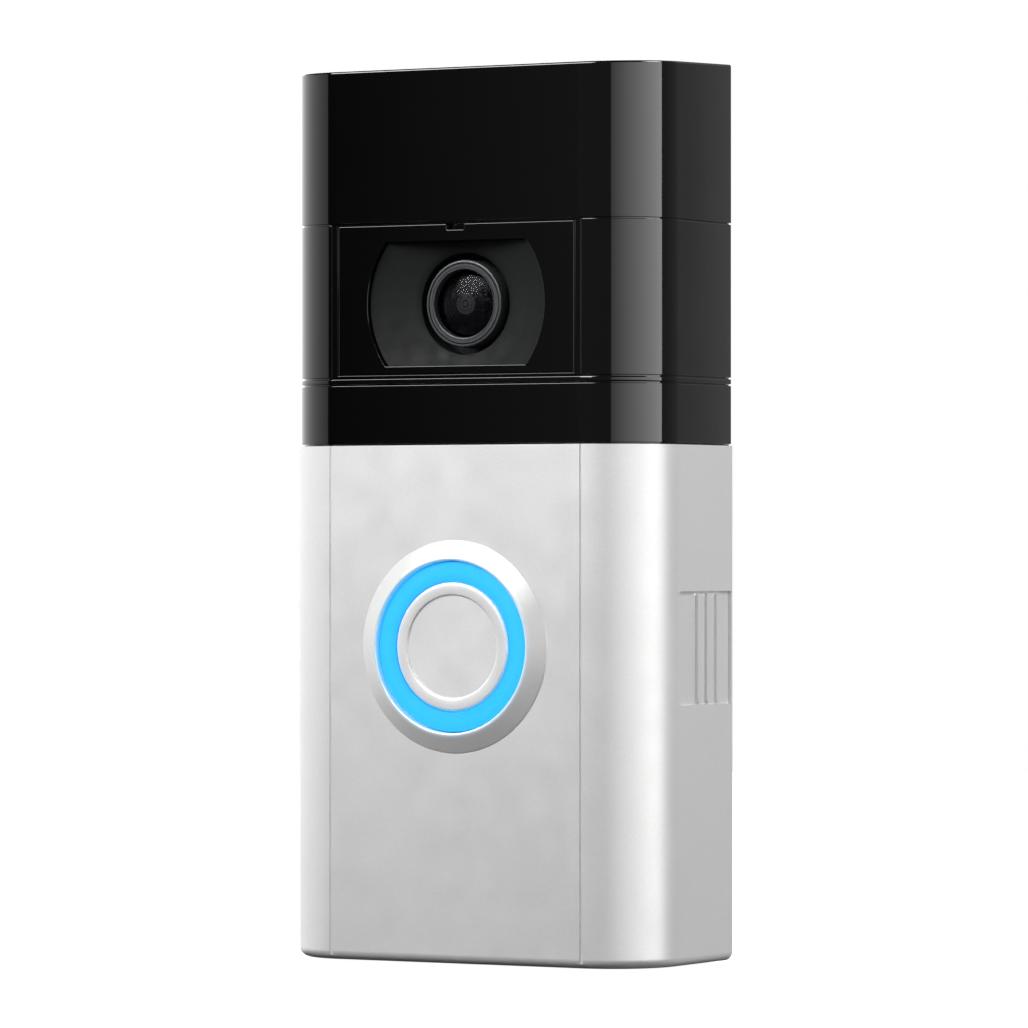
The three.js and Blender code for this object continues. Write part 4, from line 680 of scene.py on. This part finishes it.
# %% Bezel
def make_bezel():
    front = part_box("camera_cover")[0].y / MM - 0.2
    rise = 1.3
    rings = [
        [15.5, front + 0.05], [15.42, front - 0.06], [15.2, front - 0.17], [13.25, front - rise + 0.16],
        [12.98, front - rise + 0.02], [12.82, front - rise], [12.6, front - rise],
        [12.5, front - rise + 0.1], [12.5, front + 1.2], [15.3, front + 1.2],
    ]
    piece = ringed("button_bezel", rings, 0, BUTTON.z, 192)
    even(piece, 60)
    return fit(piece, "faceplate", "satin_nickel", bezel_nickel, "faceplate")


make_bezel()

# %% [markdown]
# ### The light ring
# A translucent ring with lamps behind it glows evenly, a little brighter along its middle and darker at
# its two edges, where less light gets through. Emission that follows the radius shows that. The ring is
# slightly crowned, so that it also catches a reflection.

# %% Light ring
def ring_light_finish():
    made = Finish("blue_light_ring", (0.01, 0.16, 0.45), 0.34, IOR=1.4)
    across = made.from_axis(0, BUTTON.z, 9.43 * MM, 12.4 * MM)
    glow = made.ramp(across, [
        (0.0, (0.004, 0.10, 0.3)), (0.05, (0.03, 0.46, 0.98)), (0.5, (0.036, 0.52, 1.0)),
        (0.93, (0.03, 0.46, 0.98)), (1.0, (0.004, 0.12, 0.34)),
    ])
    made.drive("Emission Color", glow)
    made.set("Emission Strength", 0.86)
    made.bump((made.noise(900.0, 3.0), 0.000004))
    made.drive("Roughness", made.range(made.noise(300.0), 0.24, 0.36))
    return made.material


def make_light_ring():
    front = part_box("light_ring")[0].y / MM
    rings = [
        [9.5, front + 0.3], [9.62, front + 0.1], [10.2, front + 0.02], [10.9, front], [11.6, front + 0.02],
        [12.2, front + 0.1], [12.32, front + 0.3], [12.32, front + 2.6], [13.2, front + 2.6],
        [13.2, front + 3.4], [10.43, front + 3.4], [10.43, front + 2.1], [9.5, front + 2.1],
    ]
    piece = ringed("glowing_ring", rings, 0, BUTTON.z, 192)
    even(piece, 40)
    return fit(piece, "housing", "light_blue", ring_light_finish(), "light_ring")


make_light_ring()

# %% [markdown]
# ### The button cap
# The cap is a shallow dish: an outer band, a small step down, and a flat centre disc. The step is what
# tells the thumb where to press. It is turned like the bezel, ring by ring, and closed at its centre.

# %% Button cap
def make_button_cap():
    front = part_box("button_cap")[0].y / MM
    rings = [
        [10.13, front + 3.0], [10.13, front + 2.4], [9.35, front + 2.4], [9.35, front + 0.3],
        [9.27, front + 0.1], [9.1, front + 0.02], [8.9, front], [7.72, front], [7.6, front + 0.03],
        [7.52, front + 0.12], [7.48, front + 0.22], [7.38, front + 0.25], [4.0, front + 0.25],
        [0.8, front + 0.25],
    ]
    piece = ringed("press_cap", rings, 0, BUTTON.z, 160, centre=front + 0.25)
    even(piece, 50)
    return fit(piece, "button", "satin_nickel", cap_nickel, "button_cap")


make_button_cap()

# %% [markdown]
# ## The camera's parts
# The shroud is a matte dish that keeps stray light off the lens. Its outline is the same cut circle as the
# window's opening. It is turned as a full dish, then bisected above and below, which caps the flats.

# %% Lens shroud
def shroud_finish():
    made = Finish("shroud_matte", (0.0042, 0.0049, 0.005), 0.58, IOR=1.28)
    made.drive("Roughness", made.range(made.noise(500.0), 0.55, 0.7))
    made.bump((made.noise(3800.0, 2.0), 0.000005), (made.noise(260.0, 2.0), 0.000006))
    return made.material


SHROUD_FORWARD = 0.35  # in millimetres, as are the rings of every turned piece
SHROUD_RIM, SHROUD_HOLE, SHROUD_DEPTH = 14.77, 7.4, 2.25
SHROUD_HALF = 8.97 * MM


def make_lens_shroud():
    low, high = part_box("lens_shroud")
    front, rear = low.y / MM - SHROUD_FORWARD, high.y / MM
    rim, hole, depth = SHROUD_RIM, SHROUD_HOLE, SHROUD_DEPTH
    rings = [[rim, front + 0.12], [rim - 0.12, front]]
    for step in range(1, 9):
        share = step / 8
        rings.append([rim - 0.12 - (rim - 0.32 - hole) * share, front + depth * share ** 0.85])
    rings += [[hole, front + depth + 0.15], [hole, rear], [rim, rear]]
    piece = ringed("lens_dish", rings, 0, LENS.z, 160)
    for way in (1, -1):
        only(piece)
        bpy.ops.object.mode_set(mode="EDIT")
        bpy.ops.mesh.select_all(action="SELECT")
        bpy.ops.mesh.bisect(plane_co=(0, 0, LENS.z + way * SHROUD_HALF), plane_no=(0, 0, way),
                            use_fill=True, clear_outer=True)
        leave_edit()
    even(piece, 35)
    return fit(piece, "housing", "matte_black", shroud_finish(), "lens_shroud")


make_lens_shroud()

# %% [markdown]
# ### Barrel, retaining ring and lens
# A lens looks like a lens because of what lies behind the glass: nested dark rings that step down to a
# small iris. The barrel's mouth and the turned retaining ring are real shapes, and so is the stepped well
# at the bottom. The front element is a clear dome over a dark, opaque inner dome. That inner dome hides
# the well from the front, so the fine rings seen near the axis are its colour and not the well's steps:
# lighter rings painted at the steps' places, as painted highlights of the iris steps catching the light.

# %% Lens parts
def lens_metal_finish():
    made = Finish("barrel_anodised", (0.05, 0.052, 0.056), 0.36, 0.5)
    grooves = made.from_axis(0, LENS.z, 0.0, 1.0)
    turned = made.nodes.new("ShaderNodeMath")
    turned.operation = "PINGPONG"
    turned.inputs[1].default_value = 0.00006
    made.links.new(grooves, turned.inputs[0])
    made.drive("Roughness", made.range(made.noise(900.0), 0.3, 0.44))
    made.bump((turned.outputs["Value"], 0.02), (made.noise(1500.0), 0.000003))
    return made.material


def deep_black_finish():
    made = Finish("lens_well_black", (0.008, 0.009, 0.012), 0.35, IOR=1.45)
    made.drive("Roughness", made.range(made.noise(700.0), 0.28, 0.45))
    made.bump((made.noise(2600.0), 0.000002))
    return made.material


def lens_glass_finish():
    made = Finish("coated_lens_glass", (0.8, 0.82, 0.86), 0.0, IOR=1.1, Transmission_Weight=1.0)
    made.drive("Roughness", made.range(made.noise(80.0), 0.0, 0.015))
    return made.material


def inner_lens_finish():
    made = Finish("inner_lens_black", (0.004, 0.004, 0.005), 0.42, IOR=1.15)
    across = made.from_axis(0, LENS.z, 0.0, 2.0 * MM)
    # The lighter rings near the axis stand in for the hidden iris steps: their places are the steps' own,
    # their lightness is painted highlight.
    made.drive("Base Color", made.ramp(across, [
        (0.0, (0.004, 0.004, 0.005)), (0.12, (0.05, 0.05, 0.055)), (0.2, (0.012, 0.012, 0.014)),
        (0.3, (0.012, 0.012, 0.014)), (0.36, (0.06, 0.06, 0.064)), (0.42, (0.022, 0.022, 0.024)),
        (0.74, (0.03, 0.03, 0.032)), (0.8, (0.004, 0.004, 0.005)),
    ]))
    made.drive("Roughness", made.range(made.noise(700.0), 0.26, 0.4))
    made.bump((made.noise(2600.0), 0.000001))
    return made.material


lens_metal = lens_metal_finish()
well_black = deep_black_finish()


def make_lens_barrel():
    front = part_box("lens_barrel")[0].y / MM
    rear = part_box("lens_barrel")[1].y / MM
    rings = [
        [6.4, front + 0.3], [6.25, front + 0.05], [6.1, front], [5.95, front + 0.02], [5.93, front + 1.1],
        [5.03, front + 1.1], [5.03, front + 3.6], [3.4, front + 3.6], [3.4, rear], [5.6, rear],
        [5.6, rear - 3.0], [6.4, rear - 3.0],
    ]
    piece = ringed("barrel_turned", rings, 0, LENS.z, 96)
    smooth(piece, 40)
    return fit(piece, "housing", "lens_metal", lens_metal, "lens_barrel")


def make_lens_retainer():
    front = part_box("lens_retainer")[0].y / MM
    rings = [
        [5.85, front + 0.12], [5.74, front], [5.42, front], [5.34, front + 0.08], [5.2, front + 0.08],
        [5.12, front], [5.02, front + 0.03], [4.9, front + 0.35], [4.9, front + 0.8],
        [5.85, front + 0.8],
    ]
    piece = ringed("retainer_turned", rings, 0, LENS.z, 96)
    smooth(piece, 30)
    return fit(piece, "housing", "lens_metal", lens_metal, "lens_retainer")


def dome(apex, crown, radius, steps):
    """Rings of a shallow dome, from its edge in towards the axis."""
    shares = [radius * step / steps for step in range(steps, 0, -1)]
    return [[ring, apex + crown * (ring / radius) ** 2] for ring in shares]


def make_front_lens():
    low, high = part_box("front_lens")
    front, rear = low.y / MM, high.y / MM
    clear = [[4.85, rear - 0.1], [4.9, rear - 0.2], [4.9, front + 1.3], *dome(front, 1.25, 4.8, 12)]
    piece = ringed("front_element", clear, 0, LENS.z, 96, centre=front)
    smooth(piece, 60)
    inner = [[4.7, rear - 0.3], [4.75, front + 1.9], *dome(front + 0.8, 1.0, 4.7, 12)]
    coated = ringed("inner_element", inner, 0, LENS.z, 96, centre=front + 0.8)
    smooth(coated, 60)
    fit(coated, "housing", "lens_glass", inner_lens_finish(), "front_lens")
    return fit(piece, "housing", "lens_glass", lens_glass_finish(), "front_lens")


def make_iris():
    """The stepped well behind the front element, with the iris at its bottom."""
    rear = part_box("lens_iris")[1].y / MM
    steps = [[3.3, rear], [3.3, rear - 0.55], [2.6, rear - 0.5], [2.55, rear - 0.3], [1.75, rear - 0.25],
             [1.6, rear - 0.42], [1.35, rear - 0.42], [1.25, rear - 0.2], [0.82, rear - 0.15],
             [0.76, rear - 0.1], [0.76, rear]]
    piece = ringed("iris_stepped", steps, 0, LENS.z, 96)
    smooth(piece, 30)
    return fit(piece, "housing", "lens_metal", well_black, "lens_iris")


make_lens_barrel()
make_lens_retainer()
make_front_lens()
make_iris()

# %% [markdown]
# ## Finishes of the parts that stay as they are
# The rear housing, the boards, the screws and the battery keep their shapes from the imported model. They
# show from behind or with the faceplate off, so each slot gets a finish of its own kind.

# %% Finishes for the carried-over parts
def moulded_finish(name, colour, roughness, grain, depth):
    made = Finish(name, colour, roughness, IOR=1.46)
    lighter = tuple(min(1.0, value * 1.25 + 0.002) for value in colour)
    made.drive("Base Color", made.ramp(made.noise(35.0, 5.0), [(0.3, colour), (0.7, lighter)]))
    made.drive("Roughness", made.range(made.noise(grain / 3), roughness - 0.06, roughness + 0.08))
    made.bump((made.noise(grain, 3.0), depth), (made.cells(grain * 1.6), depth / 2))
    return made.material


def metal_finish(name, colour, roughness, stretch):
    made = Finish(name, colour, roughness, 1.0)
    scratches = made.noise(600.0, 4.0, stretch)
    darker = tuple(value * 0.82 for value in colour)
    made.drive("Base Color", made.ramp(made.noise(120.0, 4.0), [(0.3, darker), (0.7, colour)]))
    made.drive("Roughness", made.range(scratches, roughness - 0.08, roughness + 0.12))
    made.bump((scratches, 0.000004))
    return made.material


def circuit_finish():
    made = Finish("solder_mask_green", (0.01, 0.09, 0.035), 0.32, IOR=1.5, Coat_Weight=0.3)
    tracks = made.nodes.new("ShaderNodeTexBrick")
    tracks.inputs["Scale"].default_value = 420.0
    tracks.inputs["Color1"].default_value = (0.01, 0.09, 0.035, 1)
    tracks.inputs["Color2"].default_value = (0.012, 0.13, 0.05, 1)
    tracks.inputs["Mortar"].default_value = (0.02, 0.2, 0.08, 1)
    tracks.inputs["Mortar Size"].default_value = 0.03
    made.links.new(made.stretched((1, 0, 1)), tracks.inputs["Vector"])
    made.drive("Base Color", tracks.outputs["Color"])
    made.bump((tracks.outputs["Fac"], 0.00001))
    made.drive("Roughness", made.range(made.noise(200.0), 0.26, 0.4))
    return made.material


slot_finishes = {
    "gloss_black": gloss_black,
    "window_black": window_black,
    "satin_nickel": satin_nickel,
    "lens_metal": lens_metal,
    "matte_black": moulded_finish("chassis_moulding", (0.022, 0.023, 0.025), 0.5, 1500.0, 0.000006),
    "housing_black": moulded_finish("housing_spark_texture", (0.02, 0.021, 0.023), 0.58, 900.0, 0.000014),
    "lens_glass": well_black,
    "chip_black": moulded_finish("moulded_epoxy", (0.015, 0.015, 0.017), 0.45, 2500.0, 0.000004),
    "circuit_green": circuit_finish(),
    "screw_steel": metal_finish("plated_screw_steel", (0.62, 0.62, 0.63), 0.28, (1, 8, 1)),
    "led_violet": moulded_finish("tinted_led_epoxy", (0.05, 0.04, 0.07), 0.12, 300.0, 0.000001),
    "tin_plate": metal_finish("tin_plated_sheet", (0.7, 0.7, 0.71), 0.3, (1, 1, 6)),
    "frosted_lens": moulded_finish("frosted_motion_lens", (0.62, 0.63, 0.64), 0.5, 1200.0, 0.00001),
    "copper_gold": metal_finish("gold_flashed_copper", (0.85, 0.58, 0.3), 0.26, (6, 1, 1)),
    "soft_rubber": moulded_finish("soft_silicone", (0.03, 0.03, 0.031), 0.72, 1800.0, 0.000006),
    "battery_grey": moulded_finish("battery_case_grey", (0.05, 0.052, 0.056), 0.48, 1300.0, 0.000009),
    "light_blue": bpy.data.materials["blue_light_ring"],
    "setup_orange": moulded_finish("setup_button_orange", (0.72, 0.2, 0.03), 0.42, 1600.0, 0.000006),
}


def finish_kept_parts():
    slots = {row["node"]: row["material_slot"] for row in frame["record"]["subparts"]}
    for name, node in nodes.items():
        material = slot_finishes[slots[name]]
        for index in range(max(1, len(node.material_slots))):
            if node.material_slots:
                node.material_slots[index].material = material
            else:
                node.data.materials.append(material)
    print("finished", len(nodes), "kept parts in", len(slot_finishes), "slots")


finish_kept_parts()

# %% [markdown]
# ## The studio
# A gloss surface shows only what is around it, so the surroundings matter as much as the finish. Two
# curved soft boxes stand to the left and right and put a bright upright band on each rounded corner. Dim
# cards stand in front and behind, so the flat front stays nearly black and the side a little lighter, and
# two fades join them. An area lamp is flat and can't wrap round like that, so all of them are curved
# sheets that glow. Two area lamps above light the satin paint.

# %% Soft boxes
def glow_material(name, low, high):
    """Glows from low at the sheet's start to high at its end, and a little stronger towards its top."""
    material = bpy.data.materials.new(name)
    material.use_nodes = True
    tree = material.node_tree
    tree.nodes.clear()
    uv = tree.nodes.new("ShaderNodeUVMap")
    uv.uv_map = "turn"
    split = tree.nodes.new("ShaderNodeSeparateXYZ")
    scale = tree.nodes.new("ShaderNodeMapRange")
    fade = tree.nodes.new("ShaderNodeMapRange")
    glow = tree.nodes.new("ShaderNodeEmission")
    out = tree.nodes.new("ShaderNodeOutputMaterial")
    strength = tree.nodes.new("ShaderNodeMath")
    strength.operation = "MULTIPLY"
    scale.inputs["To Min"].default_value = low
    scale.inputs["To Max"].default_value = high
    fade.inputs["To Min"].default_value = 0.75
    fade.inputs["To Max"].default_value = 1.15
    tree.links.new(uv.outputs["UV"], split.inputs["Vector"])
    tree.links.new(split.outputs["X"], scale.inputs["Value"])
    tree.links.new(split.outputs["Y"], fade.inputs["Value"])
    tree.links.new(scale.outputs["Result"], strength.inputs[0])
    tree.links.new(fade.outputs["Result"], strength.inputs[1])
    tree.links.new(strength.outputs["Value"], glow.inputs["Strength"])
    tree.links.new(glow.outputs["Emission"], out.inputs["Surface"])
    return material


def soft_box(name, start, end, strength, radius=1.3, bottom=-0.9, top=1.5, steps=32):
    """A curved sheet round the doorbell between two directions; 0 is straight in front, + to the right."""
    mesh = bpy.data.meshes.new(name)
    corners, faces, turns = [], [], []
    for step in range(steps + 1):
        share = step / steps
        angle = math.radians(start + (end - start) * share)
        for z in (bottom, top):
            corners.append((radius * math.sin(angle), -radius * math.cos(angle), z))
            turns.append((share, 0.0 if z == bottom else 1.0))
    for step in range(steps):
        a = 2 * step
        faces.append((a, a + 2, a + 3, a + 1))
    mesh.from_pydata(corners, [], faces)
    layer = mesh.uv_layers.new(name="turn")
    for loop in mesh.loops:
        layer.data[loop.index].uv = turns[loop.vertex_index]
    mesh.materials.append(glow_material(name + "_glow", *strength))
    sheet = bpy.data.objects.new(name, mesh)
    bpy.context.scene.collection.objects.link(sheet)
    sheet.visible_camera = False
    sheet.visible_shadow = False
    return sheet


soft_box("soft_box_right", 26, 109, (0.62, 3.4), bottom=-0.32, top=0.4)
soft_box("soft_box_left", -46, -150, (0.48, 1.8), bottom=-0.4, top=0.5)
soft_box("front_fade", -32.6, -27, (0.0, 0.11))
soft_box("front_card", -27, 26, (0.11, 0.11))
soft_box("rear_card", 109, 150.1, (0.14, 0.2))
soft_box("rear_fade", 150.1, 151.2, (0.2, 0.42))
soft_box("rear_wall", 151.2, 180, (0.48, 0.4))

# %% [markdown]
# ## Floor and surroundings
# The floor is a plain pale disc. The world is white where the camera looks straight at it, and dim
# where it lights or is reflected, so the background stays white and the black gloss stays black.

# %% Floor and world
def make_floor():
    bpy.ops.object.select_all(action="DESELECT")
    bpy.ops.mesh.primitive_circle_add(vertices=96, radius=0.7, fill_type="NGON",
                                      location=(0, 0.05, cad_box[0][2] - 0.0004))
    floor = settle("floor")
    for ray in ("visible_diffuse", "visible_glossy", "visible_transmission", "visible_shadow"):
        setattr(floor, ray, False)
    material = bpy.data.materials.new("pale_floor")
    material.use_nodes = True
    shader = material.node_tree.nodes["Principled BSDF"]
    shader.inputs["Base Color"].default_value = (0.9, 0.9, 0.9, 1)
    shader.inputs["Roughness"].default_value = 0.9
    shader.inputs["Emission Color"].default_value = (1, 1, 1, 1)
    shader.inputs["Emission Strength"].default_value = 0.95
    floor.data.materials.append(material)


def make_world():
    world = bpy.data.worlds.new("studio")
    world.use_nodes = True
    tree = world.node_tree
    seen = tree.nodes["Background"]
    seen.inputs["Color"].default_value = (1, 1, 1, 1)
    seen.inputs["Strength"].default_value = 1.0
    felt = tree.nodes.new("ShaderNodeBackground")
    felt.inputs["Color"].default_value = (1, 1, 1, 1)
    felt.inputs["Strength"].default_value = 0.012
    path = tree.nodes.new("ShaderNodeLightPath")
    mix = tree.nodes.new("ShaderNodeMixShader")
    tree.links.new(path.outputs["Is Camera Ray"], mix.inputs[0])
    tree.links.new(felt.outputs[0], mix.inputs[1])
    tree.links.new(seen.outputs[0], mix.inputs[2])
    tree.links.new(mix.outputs[0], tree.nodes["World Output"].inputs["Surface"])
    bpy.context.scene.world = world


def make_lamp(name, place, size, energy):
    lamp = bpy.data.lights.new(name, "AREA")
    lamp.shape = "RECTANGLE"
    lamp.size, lamp.size_y = size
    lamp.energy = energy
    obj = bpy.data.objects.new(name, lamp)
    bpy.context.scene.collection.objects.link(obj)
    obj.location = place
    obj.rotation_euler = (-Vector(place)).to_track_quat("-Z", "Y").to_euler()
    obj.visible_camera = False


make_floor()
make_world()
make_lamp("lamp_above_front", (-0.12, -0.30, 0.22), (0.26, 0.2), 2.03)
make_lamp("lamp_above_right", (0.36, 0.06, 0.34), (0.2, 0.2), 1.7)
bpy.context.scene.view_settings.view_transform = "Standard"
